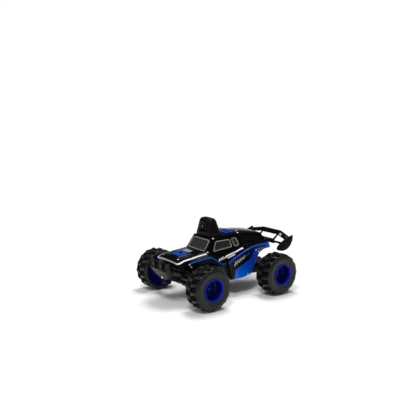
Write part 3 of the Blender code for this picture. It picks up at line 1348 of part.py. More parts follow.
def build_wing_mount(finish):
    """Tail plate behind the shell with two struts up to the wing and two stays out to its end plates."""
    m = MM
    r, a = REAR_AXLE_Y, AXLE_Z
    front, rear = r + 8.6 * m + SEAT_GAP, r + 16.6 * m
    wide = 12.0 * m
    foot = a + 16.7 * m
    channel = [(front, a + 21.1 * m), (rear, a + 20.5 * m), (rear + 0.8 * m, foot), (rear - 0.7 * m, foot),
               (rear - 1.2 * m, a + 19.1 * m), (front, a + 19.7 * m)]
    mount = make("wing_mount", prism(channel, -wide, wide, "X"), finish["tub"])
    _, lead, trail = wing_sections()[1]
    chord = Vector((trail[0] - lead[0], trail[1] - lead[1]))
    under = Vector((chord.y, -chord.x)).normalized() * (WING_THICK / 2 + SEAT_GAP)
    top_front = Vector(lead) + chord * 0.12 + under
    top_rear = Vector(lead) + chord * 0.55 + under
    feet = [(rear - 0.9 * m, a + 17.5 * m), (rear + 0.6 * m, a + 16.9 * m)]
    outline = feet + [tuple(top_rear), tuple(top_front)]
    for label, side in sides():
        ends = sorted((side * (WING_BEND_X - STRUT_THICK - 0.2 * m), side * (WING_BEND_X - 0.2 * m)))
        strut = prism(outline, ends[0], ends[1], "X")
        join(mount, make(f"guide_strut_{label}", strut, finish["tub"]))
        stay_y, stay_z = rear - 3.4 * m, a + 18.7 * m
        reach = sorted((side * (wide - m), side * WING_HALF_SPAN))
        stay = box((reach[0], stay_y - 0.8 * m, stay_z), (reach[1], stay_y + 0.8 * m, stay_z + 1.4 * m))
        join(mount, make(f"guide_stay_{label}", stay, finish["tub"]))


def build_front_wheels(finish):
    """Knuckles on their kingpin lines, each carrying a freely turning wheel."""
    for label, side in sides():
        carrier = pivot(f"kingpin_line_{label}", (side * KINGPIN_X, FRONT_AXLE_Y, AXLE_Z))
        build_knuckle(label, side, carrier, finish)
        hub = pivot(f"front_wheel_{label}_centre", (side * (WHEEL_X - KINGPIN_X), 0.0, 0.0), carrier)
        build_wheel(f"front_{label}", side, hub, finish)
        build_lower_arm(label, side, finish)
        build_kingpin(label, side, finish)


def main():
    clear_scene()
    finish = finishes()
    build_tub(finish)
    build_battery(finish)
    build_switch(finish)
    build_socket(finish)
    build_front_wheels(finish)
    build_brace(finish)
    build_servo(finish)
    build_servo_horn(finish)
    build_tie_rod(finish)
    build_rear_axle(finish)
    build_motor(finish)
    build_gearbox(finish)
    build_rear_skid(finish)
    build_shell(finish)
    for label, side in sides():
        build_skirt(label, side, finish)
    build_pod(finish)
    build_camera(finish)
    build_bumper(finish)
    build_bumper_screw(finish)
    build_wing(finish)
    build_wing_mount(finish)


main()
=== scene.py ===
import json
import math

import bmesh
import bpy
from mathutils import Matrix, Vector
from mathutils.bvhtree import BVHTree
from mathutils.kdtree import KDTree

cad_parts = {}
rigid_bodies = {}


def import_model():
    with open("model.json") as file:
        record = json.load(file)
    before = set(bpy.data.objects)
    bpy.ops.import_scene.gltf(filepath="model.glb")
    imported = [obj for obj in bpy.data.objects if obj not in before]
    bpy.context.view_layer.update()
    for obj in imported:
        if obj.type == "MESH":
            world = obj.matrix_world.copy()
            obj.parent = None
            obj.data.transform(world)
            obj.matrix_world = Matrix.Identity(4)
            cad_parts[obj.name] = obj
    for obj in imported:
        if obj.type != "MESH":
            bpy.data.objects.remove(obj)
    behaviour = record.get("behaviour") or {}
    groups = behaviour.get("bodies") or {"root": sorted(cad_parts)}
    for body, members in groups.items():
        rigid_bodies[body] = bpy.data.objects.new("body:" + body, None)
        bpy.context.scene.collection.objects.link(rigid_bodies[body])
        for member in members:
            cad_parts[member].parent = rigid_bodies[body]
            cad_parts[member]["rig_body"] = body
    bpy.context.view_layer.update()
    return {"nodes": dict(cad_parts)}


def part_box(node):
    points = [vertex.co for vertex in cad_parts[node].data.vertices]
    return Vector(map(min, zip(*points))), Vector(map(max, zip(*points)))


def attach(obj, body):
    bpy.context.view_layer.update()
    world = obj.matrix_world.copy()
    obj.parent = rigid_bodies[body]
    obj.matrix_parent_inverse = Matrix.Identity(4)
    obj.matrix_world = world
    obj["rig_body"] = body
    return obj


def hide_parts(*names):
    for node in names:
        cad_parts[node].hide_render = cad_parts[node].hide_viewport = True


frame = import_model()

# Studio: a pale paper floor that fades to white walls under a dark ceiling, lit by a panel overhead,
# a key and a fill. The camera stands where the photograph was taken, off the left front corner and
# a little above the roof.
MM = 0.001
scene = bpy.context.scene
scene.view_settings.view_transform = "Standard"


def placed(name, data):
    """A new object for some data, linked into the scene."""
    made = bpy.data.objects.new(name, data)
    scene.collection.objects.link(made)
    return made


def mesh_of(name, bm):
    """A new mesh from one under construction, which is used up."""
    mesh = bpy.data.meshes.new(name)
    bm.to_mesh(mesh)
    bm.free()
    return mesh


EYE = Vector((350.72, -272.04, 138.86)) * MM
EYE_RIGHT = Vector((0.5990, 0.8007, 0.0))
EYE_UP = Vector((-0.1340, 0.1003, 0.9859))
EYE_AHEAD = Vector((-0.7894, 0.5906, -0.1674))
camera = placed("camera", bpy.data.cameras.new("camera"))
axes = Matrix((EYE_RIGHT, EYE_UP, -EYE_AHEAD)).transposed()
camera.matrix_world = Matrix.Translation(EYE) @ axes.to_4x4()
camera.data.sensor_width = 36.0
camera.data.lens = 51.92
camera.data.clip_start = 0.01
scene.camera = camera

LIGHT_AIM = Vector((0.0, 0.0, 0.02))
WHITE = (1.0, 1.0, 1.0, 1.0)
PAPER_WHITE = (0.93, 0.93, 0.93, 1.0)
ROOM_LIGHT = 0.32
CEILING_LIGHT = 0.05
HORIZON = 0.17
FLOOR_RADIUS = 6.0
FADE_START, FADE_END = 0.06, 0.32


def panel_light(name, spot, size, power):
    """A square soft panel that faces the truck."""
    lamp = bpy.data.lights.new(name, "AREA")
    lamp.size = size
    lamp.energy = power
    holder = placed(name, lamp)
    holder.location = spot
    holder.rotation_euler = (LIGHT_AIM - Vector(spot)).to_track_quat("-Z", "Y").to_euler()


panel_light("overhead_panel", (-0.08, 0.14, 0.62), 0.30, 2.9)
panel_light("key_panel", (0.30, -0.34, 0.66), 0.16, 2.2)
panel_light("fill_panel", (-0.45, -0.50, 0.35), 0.30, 0.5)


def feed(tree, node, inputs):
    """Links each named input of a node to a socket, or sets it to a value."""
    for label, value in inputs.items():
        if isinstance(value, bpy.types.NodeSocket):
            tree.links.new(value, node.inputs[label])
        else:
            node.inputs[label].default_value = value


def wired(tree, kind, inputs, **settings):
    """A new node with its settings made and its inputs fed."""
    made = tree.nodes.new(kind)
    for label, value in settings.items():
        setattr(made, label, value)
    feed(tree, made, inputs)
    return made


def calc(tree, operation, *values):
    """One step of arithmetic on sockets and numbers."""
    return wired(tree, "ShaderNodeMath", dict(enumerate(values)), operation=operation).outputs[0]


def between(tree, factor, low, high, start=0.3, end=0.7, fade="LINEAR"):
    """Spreads a factor that runs from start to end over low to high."""
    spread = {"Value": factor, "From Min": start, "From Max": end, "To Min": low, "To Max": high}
    return wired(tree, "ShaderNodeMapRange", spread, interpolation_type=fade).outputs["Result"]


def background_ray(tree):
    """A factor that is 1 for camera, glossy and transmission rays."""
    path = wired(tree, "ShaderNodeLightPath", {})
    seen = calc(tree, "MAXIMUM", path.outputs["Is Camera Ray"], path.outputs["Is Glossy Ray"])
    return calc(tree, "MAXIMUM", seen, path.outputs["Is Transmission Ray"])


def finish_nodes(name):
    """A new material with its node tree, its shader and the object's own coordinates."""
    made = bpy.data.materials.new(name)
    made.use_nodes = True
    tree = made.node_tree
    coords = wired(tree, "ShaderNodeTexCoord", {})
    return made, tree, tree.nodes["Principled BSDF"], coords.outputs["Object"]


world = bpy.data.worlds.new("studio_air")
scene.world = world
world.use_nodes = True
room = world.node_tree
ways = wired(room, "ShaderNodeTexCoord", {})
heading = wired(room, "ShaderNodeSeparateXYZ", {0: ways.outputs["Generated"]})
ceiling = between(room, heading.outputs["Z"], 1.0, CEILING_LIGHT, 0.0, HORIZON, "SMOOTHSTEP")
path = wired(room, "ShaderNodeLightPath", {})
backdrop = calc(room, "MAXIMUM", ceiling, path.outputs["Is Camera Ray"])
brightness = between(room, background_ray(room), ROOM_LIGHT, backdrop, 0.0, 1.0)
feed(room, room.nodes["Background"], {"Color": WHITE, "Strength": brightness})

floor_bm = bmesh.new()
bmesh.ops.create_circle(floor_bm, cap_ends=True, segments=96, radius=FLOOR_RADIUS)
floor = placed("floor", mesh_of("floor", floor_bm))
paper, tree, sheet, coords = finish_nodes("white_paper")
feed(tree, sheet, {"Base Color": PAPER_WHITE, "Roughness": 0.9, "Specular IOR Level": 0.1})
glow = wired(tree, "ShaderNodeEmission", {"Color": WHITE})
away = wired(tree, "ShaderNodeVectorMath", {0: coords}, operation="LENGTH")
far = between(tree, away.outputs["Value"], 0.0, 1.0, FADE_START, FADE_END, "SMOOTHSTEP")
fade = calc(tree, "MULTIPLY", far, background_ray(tree))
blend = wired(tree, "ShaderNodeMixShader", {"Fac": fade, 1: sheet.outputs[0], 2: glow.outputs[0]})
feed(tree, tree.nodes["Material Output"], {"Surface": blend.outputs[0]})
floor.data.materials.append(paper)

# Chassis tub, battery door, servo, brace and gearbox: injection-moulded black nylon with a fine
# spark-eroded grain. Each is a copy of its solid, with the facets merged and the edges rounded as the
# mould leaves them.
JOIN_GAP = 0.03 * MM
FLAT_TURN = math.radians(0.8)
FOLD_AREA = 0.04 * MM ** 2
FOLD_TRIALS = 8
SHORT_EDGE = 1.6
COVER_GAP = 0.5 * MM


def speckle(tree, coords, grain, detail=3.0):
    """Noise whose cells are about grain metres across."""
    noise = {"Vector": coords, "Scale": 1.0 / grain, "Detail": detail}
    return wired(tree, "ShaderNodeTexNoise", noise).outputs["Fac"]


def shade(tree, factor, first, second):
    """A mix of two colours by a factor."""
    mix = {"Factor": factor, "A": first, "B": second}
    return wired(tree, "ShaderNodeMix", mix, data_type="RGBA").outputs["Result"]


def clouded(tree, coords, grain, dark, light, detail=3.0):
    """A cloudy colour between a dark and a light one."""
    cloud = between(tree, speckle(tree, coords, grain, detail), 0.0, 1.0)
    return shade(tree, cloud, (*dark, 1.0), (*light, 1.0))


def smeared(tree, coords, grain, rough, detail=5.0):
    """An uneven gloss between two roughnesses."""
    return between(tree, speckle(tree, coords, grain, detail), *rough)


def grained(tree, coords, grain, depth):
    """A surface bumped by a fine noise of a depth in metres."""
    bump = {"Strength": 1.0, "Distance": depth, "Height": speckle(tree, coords, grain)}
    return wired(tree, "ShaderNodeBump", bump).outputs["Normal"]


def moulded(name, dark, light, rough, grain, depth, gloss):
    """Moulded plastic: cloudy colour, uneven gloss, and a grain and its depth in millimetres."""
    made, tree, shader, coords = finish_nodes(name)
    feed(tree, shader, {
        "Base Color": clouded(tree, coords, 7.0 * MM, dark, light),
        "Roughness": smeared(tree, coords, 2.4 * MM, rough),
        "Normal": grained(tree, coords, grain * MM, depth * MM), "Specular IOR Level": gloss})
    return made


nylon = moulded("black_nylon", (0.012, 0.012, 0.013), (0.021, 0.021, 0.022), (0.36, 0.50),
                0.22, 0.010, 0.28)


def shown(name, mesh, sharp):
    """A mesh's object in the scene, smooth but for the edges over an angle."""
    mesh.shade_smooth()
    mesh.set_sharp_from_angle(angle=math.radians(sharp))
    return placed(name, mesh)


def piece(name, bm, finish, sharp=38.0):
    """A finished piece from a mesh under construction."""
    mesh = mesh_of(name, bm)
    mesh.materials.append(finish)
    return shown(name, mesh, sharp)


def merged(node):
    """A copy of a solid's mesh with its loose triangles joined into whole faces."""
    bm = bmesh.new()
    bm.from_mesh(frame["nodes"][node].data)
    bmesh.ops.remove_doubles(bm, verts=bm.verts, dist=JOIN_GAP)
    bmesh.ops.dissolve_degenerate(bm, dist=JOIN_GAP, edges=bm.edges)
    bmesh.ops.dissolve_limit(bm, angle_limit=FLAT_TURN, verts=bm.verts, edges=bm.edges)
    return bm


def folded(bm):
    """Points on the faces that overlap themselves."""
    areas = {}
    for corners in bm.calc_loop_triangles():
        a, b, c = (loop.vert.co for loop in corners)
        face = corners[0].face
        areas[face] = areas.get(face, 0.0) + (b - a).cross(c - a).length / 2
    doubled = [face for face, area in areas.items() if area > face.calc_area() + FOLD_AREA]
    return [v.co.copy() for face in doubled for v in face.verts]


def soften(bm, edge, angle=28.0, steps=2, covered=None):
    """Rounds the edges that turn by more than an angle, but not where a piece covers them, or where
    a face would fold. The mesh that comes in is used up."""
    bmesh.ops.triangulate(bm, faces=[f for f in bm.faces if len(f.verts) > 4])
    bm.verts.ensure_lookup_table()
    tree = KDTree(len(bm.verts))
    for k, v in enumerate(bm.verts):
        tree.insert(v.co, k)
    tree.balance()
    tight = {v.index for v in bm.verts
             if any(e.calc_length() <= SHORT_EDGE * edge for e in v.link_edges)}
    if covered:
        tight |= {v.index for v in bm.verts if covered.find_nearest(v.co)[3] <= COVER_GAP}
    for _ in range(FOLD_TRIALS):
        made = bm.copy()
        corners = [e for e in made.edges if e.is_manifold and e.calc_face_angle() > math.radians(angle)
                   and not tight.intersection(v.index for v in e.verts)]
        bmesh.ops.bevel(made, geom=corners, offset=edge, offset_type="OFFSET", segments=steps,
                        profile=0.5, affect="EDGES", clamp_overlap=False)
        spots = folded(made)
        if not spots:
            break
        tight |= {tree.find(spot)[1] for spot in spots}
    bm.free()
    return made


def stand_for(made, slot, *nodes):
    """The piece takes the place of its solids and moves with their body."""
    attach(made, frame["nodes"][nodes[0]]["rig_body"])
    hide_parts(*nodes)
    return made


def softened(name, node, edge, finish, slot, angle=28.0, steps=2):
    """A solid's copy with rounded edges, in its place."""
    bm = soften(merged(node), edge, angle, steps)
    return stand_for(piece(name, bm, finish), slot, node)


NYLON_PIECES = [("tub_moulding", "chassis_tub", 0.22), ("battery_hatch", "battery_door", 0.18),
                ("servo_case", "steering_servo", 0.35), ("brace_plate", "steering_brace", 0.20),
                ("gearbox_sump", "gearbox_lower", 0.25), ("gearbox_cover", "gearbox_upper", 0.25),
                ("tail_skid", "rear_skid", 0.25), ("tie_bar", "tie_rod", 0.18)]
for side in ("left", "right"):
    NYLON_PIECES += [(f"front_arm_{side}", f"lower_arm_{side}", 0.22),
                     (f"steering_knuckle_{side}", f"knuckle_{side}", 0.15),
                     (f"half_shaft_tube_{side}", f"axle_tube_{side}", 0.15)]
for name, node, edge in NYLON_PIECES:
    softened(name, node, edge * MM, nylon, "nylon")

# Tyres: soft dark rubber, each a round carcass with two staggered rows of slanted lugs moulded on it.
# Geometry Nodes turn one pair of lugs round the carcass. Each tyre is pushed over its rim. The tread base
# between the lugs is painted near black as painted shade.
AXLE_Z = 15.5 * MM
FRONT_Y, REAR_Y = -34.1 * MM, 29.9 * MM
WHEEL_X = 32.8 * MM
low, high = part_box("rim_front_left")
RIM_LIP = (high.z - low.z) / 2
BEAD_RADIUS = RIM_LIP - 0.4 * MM
BACK_RADIUS = 12.0 * MM
HALF_TYRE = 7.5 * MM
GROOVE_HALF, GROOVE_RADIUS = 6.0 * MM, 13.0 * MM
LUGS = 16
LUG_TURN = 0.50 * 2 * math.pi / LUGS
LUG_SLANT = -0.11
LUG_FOOT, LUG_TOP = 0.48, 0.29


def outwards(bm):
    """Turns the faces of a closed mesh outwards."""
    bmesh.ops.recalc_face_normals(bm, faces=bm.faces)


def turned(profile, steps, axis="X"):
    """A closed profile of (radius, along) turned about an axis. A point on the axis becomes a pole."""
    bm = bmesh.new()
    rings = []
    for radius, along in profile:
        count = steps if radius > 1e-7 else 1
        ring = []
        for k in range(count):
            turn = 2 * math.pi * k / steps
            c, s = radius * math.cos(turn), radius * math.sin(turn)
            ring.append(bm.verts.new((along, c, s) if axis == "X" else (c, s, along)))
        rings.append(ring)
    for first, second in zip(rings, rings[1:] + rings[:1]):
        if len(first) == 1 and len(second) == 1:
            continue
        for k in range(steps):
            n = (k + 1) % steps
            corners = [first[k % len(first)], first[n % len(first)],
                       second[n % len(second)], second[k % len(second)]]
            bm.faces.new(list(dict.fromkeys(corners)))
    outwards(bm)
    return bm


def smooth_line(points, rounds=2):
    """Cuts the corners of an open line until it is round, keeping its ends."""
    for _ in range(rounds):
        cut = [points[0]]
        for a, b in zip(points, points[1:]):
            cut.append(tuple(0.75 * p + 0.25 * q for p, q in zip(a, b)))
            cut.append(tuple(0.25 * p + 0.75 * q for p, q in zip(a, b)))
        cut.append(points[-1])
        points = cut
    return points


def walled(bm, loops):
    """Quads from each closed loop of points to the next."""
    count = len(loops[0])
    for first, second in zip(loops, loops[1:]):
        for k in range(count):
            n = (k + 1) % count
            bm.faces.new((first[k], first[n], second[n], second[k]))


def carcass_mesh():
    """Round tyre body: bead, bulged sidewall, a full round shoulder and a sunk tread base, marked for
    painted shade.
    """
    bead, back = BEAD_RADIUS / MM, BACK_RADIUS / MM
    shoulder = [(13.9, 6.90), (14.35, 6.30), (14.1, 5.75), (13.5, 5.2), (13.35, 2.5), (13.35, 0.0)]
    outer = [(bead, 6.45), (bead + 0.6, 6.80), (bead + 1.0, 6.86), (10.0, 7.14), (11.2, 7.46),
             (12.2, 7.48), (13.0, 7.32)]
    inner = [(back + 0.2, 6.40), (back + 0.5, 6.90), (12.9, 7.15), (13.4, 7.12)]
    outer, inner = (smooth_line(side + shoulder, rounds=1) for side in (outer, inner))
    profile = outer + [(r, -x) for r, x in reversed(inner[:-1])]
    bm = turned([(r * MM, x * MM) for r, x in profile], steps=96)
    # Painted shade: the tread base between the lugs is marked, and the rubber finish paints it near
    # black.
    groove_shade = bm.verts.layers.float.new("groove_shade")
    for v in bm.verts:
        outside = Vector((v.co.y, v.co.z)).length > GROOVE_RADIUS
        v[groove_shade] = 1.0 if outside and abs(v.co.x) < GROOVE_HALF else 0.0
    return bm


def lug_pair():
    """One lug of each row: slanted, tapered to its top, and run down over the shoulder."""
    bm = bmesh.new()
    groove_shade = bm.verts.layers.float.new("groove_shade")
    stations = ((0.30, 15.48, 13.4), (2.6, 15.5, 13.4), (4.6, 15.45, 13.5), (5.5, 15.25, 13.8),
                (6.3, 14.80, 13.6), (6.95, 14.0, 13.1), (7.2, 13.4, 12.8))
    wide, slim = LUG_FOOT * LUG_TURN, LUG_TOP * LUG_TURN
    for row, start in ((1.0, 0.0), (-1.0, math.pi / LUGS)):
        loops = []
        for x, top, foot in stations:
            middle = start + LUG_TURN / 2 + LUG_SLANT * x * MM / HALF_TYRE
            loop = []
            # The foot corners of each lug are marked for the painted shade of the grooves, and the tops
            # are not.
            section = ((foot, -wide, 1.0), (top, -slim, 0.0), (top, slim, 0.0), (foot, wide, 1.0))
            for radius, turn, sunk in section:
                c, s = math.cos(middle + turn), math.sin(middle + turn)
                corner = bm.verts.new((row * x * MM, radius * MM * c, radius * MM * s))
                corner[groove_shade] = sunk
                loop.append(corner)
            loops.append(loop)
        bm.faces.new(loops[0])
        bm.faces.new(loops[-1])
        walled(bm, loops)
    outwards(bm)
    return soften(bm, 0.14 * MM, angle=35.0)


def node_tree(name, sockets):
    """An empty Geometry Nodes tree, the sockets of its named inputs, and its output."""
    tree = bpy.data.node_groups.new(name, "GeometryNodeTree")
    for label, kind in (("Geometry", "NodeSocketGeometry"), *sockets):
        tree.interface.new_socket(label, in_out="INPUT", socket_type=kind)
    tree.interface.new_socket("Geometry", in_out="OUTPUT", socket_type="NodeSocketGeometry")
    return tree, tree.nodes.new("NodeGroupInput").outputs, tree.nodes.new("NodeGroupOutput")


def close_tree(tree, given, leave, shape):
    """Ends a tree: its copies are made real, and the finish is set on them."""
    real = wired(tree, "GeometryNodeRealizeInstances", {0: shape})
    painted = {"Geometry": real.outputs[0], "Material": given["Finish"]}
    paint = wired(tree, "GeometryNodeSetMaterial", painted)
    feed(tree, leave, {0: paint.outputs[0]})
    return tree


def grown(name, bm, tree, values, sharp=38.0):
    """Runs a tree on a mesh and keeps the result as a plain mesh object."""
    seed = placed(name + "_seed", mesh_of(name + "_seed", bm))
    step = seed.modifiers.new("grow", "NODES")
    step.node_group = tree
    for item in tree.interface.items_tree:
        if item.item_type == "SOCKET" and item.in_out == "INPUT" and item.name in values:
            step[item.identifier] = values[item.name]
    evaluated = seed.evaluated_get(bpy.context.evaluated_depsgraph_get())
    mesh = bpy.data.meshes.new_from_object(evaluated)
    seed.modifiers.remove(step)
    bpy.data.objects.remove(seed)
    mesh.name = name
    return shown(name, mesh, sharp)


def round_tree():
    """Turns the incoming mesh a number of times about X, joins a body to it and sets the finish."""
    tree, given, leave = node_tree("turned_round_the_axle", (
        ("Count", "NodeSocketInt"), ("Body", "NodeSocketObject"), ("Finish", "NodeSocketMaterial")))
    points = wired(tree, "GeometryNodePoints", {"Count": given["Count"]})
    index = wired(tree, "GeometryNodeInputIndex", {})
    share = calc(tree, "DIVIDE", index.outputs[0], given["Count"])
    spin = wired(tree, "ShaderNodeCombineXYZ", {"X": calc(tree, "MULTIPLY", share, 2 * math.pi)})
    turn = wired(tree, "FunctionNodeEulerToRotation", {0: spin.outputs[0]})
    copies = wired(tree, "GeometryNodeInstanceOnPoints", {
        "Points": points.outputs[0], "Instance": given["Geometry"], "Rotation": turn.outputs[0]})
    body = wired(tree, "GeometryNodeObjectInfo", {"Object": given["Body"]})
    both = wired(tree, "GeometryNodeJoinGeometry", {0: copies.outputs[0]})
    tree.links.new(body.outputs["Geometry"], both.inputs[0])
    return close_tree(tree, given, leave, both.outputs[0])


def marked(tree, name):
    """The value of one of the mesh's own attributes."""
    return wired(tree, "ShaderNodeAttribute", {}, attribute_name=name).outputs["Fac"]


def rubber_finish():
    """Dark rubber with dull mould bloom and a fine pebble. Where the tread base between the lugs is
    marked, the colour is painted near black as painted shade, and the rubber is rougher there.
    """
    made, tree, shader, coords = finish_nodes("soft_rubber")
    skin = clouded(tree, coords, 3.0 * MM, (0.0072, 0.0078, 0.0081), (0.0125, 0.0134, 0.0138), 6.0)
    sunk = marked(tree, "groove_shade")
    smear = smeared(tree, coords, 1.2 * MM, (0.30, 0.42), 4.0)
    feed(tree, shader, {
        "Base Color": shade(tree, sunk, skin, (0.0012, 0.0012, 0.0013, 1.0)),
        "Roughness": calc(tree, "MULTIPLY_ADD", sunk, 0.5, smear),
        "Normal": grained(tree, coords, 0.30 * MM, 0.010 * MM), "Specular IOR Level": 0.24})
    return made


rubber = rubber_finish()
WHEELS = (("front_left", 1.0, FRONT_Y), ("front_right", -1.0, FRONT_Y),
          ("rear_left", 1.0, REAR_Y), ("rear_right", -1.0, REAR_Y))


def wheel_place(made, outward, y):
    """Sets a piece made about the origin, facing +X, on its wheel. On the right it is mirrored."""
    if outward < 0:
        made.data.transform(Matrix.Scale(-1.0, 4, Vector((1.0, 0.0, 0.0))))
        made.data.flip_normals()
    made.data.transform(Matrix.Translation((outward * WHEEL_X, y, AXLE_Z)))


round_the_axle = round_tree()
carcass = piece("carcass_blank", carcass_mesh(), rubber)
for label, outward, y in WHEELS:
    tyre = grown(f"tyre_rubber_{label}", lug_pair(), round_the_axle,
                 {"Count": LUGS, "Body": carcass, "Finish": rubber}, sharp=40.0)
    wheel_place(tyre, outward, y)
    stand_for(tyre, "tyre", f"tyre_{label}")
bpy.data.objects.remove(carcass)

# Rims: deep-dish one-piece rims in ultramarine plastic. Their colour is painted darker deep in the dish
# as painted shade, so the rolled lip stays bright.
# A flat disc deep inside carries a stepped hub boss with small bosses round it.
HUB_BOSSES = 4
BOSS_CIRCLE = 4.6
DISC_DROP = 0.8
# Painted shade in the dish: the colour darkens from the lip to the floor of the dish, held at DISH_SHADE
# in front of the open back and full on the back.
DISH_LIP, DISH_FLOOR = 7.3 * MM, 4.2 * MM
DISH_SHADE = 0.88
OPEN_BACK = -2.0 * MM


def rim_finish():
    """Ultramarine gloss plastic with a faint swirl. Where the attribute depth is high, deep in the dish,
    the colour is painted dark navy as painted shade.
    """
    made, tree, shader, coords = finish_nodes("ultramarine_rim")
    tint = clouded(tree, coords, 5.0 * MM, (0.005, 0.011, 0.33), (0.009, 0.018, 0.43))
    feed(tree, shader, {
        "Base Color": shade(tree, marked(tree, "depth"), tint, (0.0003, 0.0004, 0.052, 1.0)),
        "Roughness": smeared(tree, coords, 1.6 * MM, (0.26, 0.36)),
        "Normal": grained(tree, coords, 0.8 * MM, 0.004 * MM), "Specular IOR Level": 0.14})
    return made


def mark_dish_shade(bm):
    """Writes how far inside the dish each point lies, 0 at the lip and 1 on the open back, as the share
    of painted shade in the rim's colour.
    """
    layer = bm.verts.layers.float.new("depth")
    for v in bm.verts:
        most = DISH_SHADE if v.co.x > OPEN_BACK else 1.0
        v[layer] = min(most, max(0.0, (DISH_LIP - v.co.x) / (DISH_LIP - DISH_FLOOR)))


def rim_mesh(disc, hub):
    """Half section of the rim turned about the axle: hub, disc, barrel, and a lip on both edges."""
    lip = RIM_LIP / MM
    bed, wall = lip - 0.6, lip - 1.2
    mouth = lip - 0.78
    back = BACK_RADIUS / MM
    points = [(1.15, -3.65), (2.5, -3.65), (2.5, disc - 1.4), (wall - 0.4, disc - 1.4),
              (wall + 0.4, disc - 2.0), (back - 0.9, -6.3), (back - 0.5, -7.1), (back - 0.1, -7.4),
              (back + 0.3, -7.3), (back + 0.4, -6.9), (back + 0.05, -6.5), (bed, 6.75), (lip, 6.8),
              (lip, 7.2), (lip - 0.15, 7.4), (lip - 0.38, 7.45), (lip - 0.6, 7.36), (mouth, 7.0),
              (mouth - 0.05, 4.6), (wall, disc + 1.0), (wall - 0.25, disc + 0.3), (wall - 0.9, disc),
              (3.1, disc), (2.6, disc + 0.25), (2.5, hub), (1.15, hub)]
    bm = turned([(r * MM, x * MM) for r, x in points], steps=72)
    mark_dish_shade(bm)
    return bm


def hub_boss(disc):
    """A small round boss on the disc beside the hub."""
    foot, top = disc - 0.3, disc + 0.5
    profile = [(0.0, foot), (0.62, foot), (0.62, disc + 0.35), (0.45, top), (0.0, top)]
    bm = turned(profile, steps=16)
    for v in bm.verts:
        v.co = Vector((v.co.x, v.co.y + BOSS_CIRCLE, v.co.z)) * MM
    mark_dish_shade(bm)
    return bm


ultramarine = rim_finish()
low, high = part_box("wheel_screw_front_left")
hub_face = (low.x - WHEEL_X) / MM - 0.3
disc_face = hub_face - DISC_DROP
rim_blank = piece("rim_blank", rim_mesh(disc_face, hub_face), ultramarine)
for label, outward, y in WHEELS:
    rim = grown(f"dished_rim_{label}", hub_boss(disc_face), round_the_axle,
                {"Count": HUB_BOSSES, "Body": rim_blank, "Finish": ultramarine})
    wheel_place(rim, outward, y)
    stand_for(rim, "rim", f"rim_{label}")
bpy.data.objects.remove(rim_blank)

# Screws: pan heads with a cross recess, one of blued steel in each hub and a zinc-plated one in the
# bumper's foot. The recess is cut once for each kind, and every screw is a copy of its head.
HEAD_SHARES = [(0.0, 0.0), (1.0, 0.0), (1.0, 0.35), (0.92, 0.60), (0.70, 0.85), (0.40, 0.97), (0.0, 1.0)]
RECESS_REACH, RECESS_HALF = 0.62, 0.13
HEAD_SHARP = 34.0
FORWARD = (0.0, -1.0, 0.0)


def metal_finish(name, dark, light, rough, grain):
    """Bare or plated metal with dull patches, and turning marks of a grain in millimetres."""
    made, tree, shader, coords = finish_nodes(name)
    feed(tree, shader, {
        "Base Color": clouded(tree, coords, 1.5 * MM, dark, light, 5.0),
        "Roughness": smeared(tree, coords, 0.4 * MM, rough, 4.0),
        "Normal": grained(tree, coords, grain * MM, 0.006 * MM), "Metallic": 1.0})
    return made


zinc = metal_finish("zinc_plate", (0.74, 0.75, 0.77), (0.90, 0.90, 0.91), (0.36, 0.50), 0.15)
blued = metal_finish("blued_steel", (0.010, 0.012, 0.15), (0.020, 0.024, 0.24), (0.34, 0.48), 0.15)


def screw_head(radius, height, finish):
    """A domed head along +Z from Z = 0, with a cross recess in its crown."""
    profile = [(out * radius, up * height) for out, up in HEAD_SHARES]
    head = piece("head_blank", turned(profile, steps=32, axis="Z"), finish)
    arms = bmesh.new()
    for wide, tall in ((RECESS_REACH, RECESS_HALF), (RECESS_HALF, RECESS_REACH)):
        place = Matrix.Translation((0.0, 0.0, height)) @ Matrix.Diagonal(
            (2 * wide * radius, 2 * tall * radius, 0.9 * height, 1.0))
        bmesh.ops.create_cube(arms, size=1.0, matrix=place)
    cutter = piece("recess_blank", arms, finish)
    step = head.modifiers.new("recess", "BOOLEAN")
    step.operation = "DIFFERENCE"
    step.use_self = True
    step.object = cutter
    depsgraph = bpy.context.evaluated_depsgraph_get()
    mesh = bpy.data.meshes.new_from_object(head.evaluated_get(depsgraph))
    bpy.data.objects.remove(head)
    bpy.data.objects.remove(cutter)
    return mesh


def pointed(mesh, name, spot, along):
    """A copy of a mesh made along +Z, stood at a spot and pointed along a direction."""
    copy = mesh.copy()
    copy.name = name
    facing = Vector(along).to_track_quat("Z", "Y").to_matrix().to_4x4()
    copy.transform(Matrix.Translation(spot) @ facing)
    return shown(name, copy, HEAD_SHARP)


hub_head = screw_head(1.9 * MM, 1.1 * MM, blued)
for label, outward, y in WHEELS:
    low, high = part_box(f"wheel_screw_{label}")
    seat = low.x if outward > 0 else high.x
    screw = pointed(hub_head, f"hub_screw_{label}", (seat, y, AXLE_Z), (outward, 0.0, 0.0))
    stand_for(screw, "steel", f"wheel_screw_{label}")
low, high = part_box("bumper_screw")
foot_head = screw_head((high.x - low.x) / 2, high.y - low.y, zinc)
foot_screw = pointed(foot_head, "foot_screw", (0.0, high.y, (low.z + high.z) / 2), FORWARD)
stand_for(foot_screw, "steel", "bumper_screw")

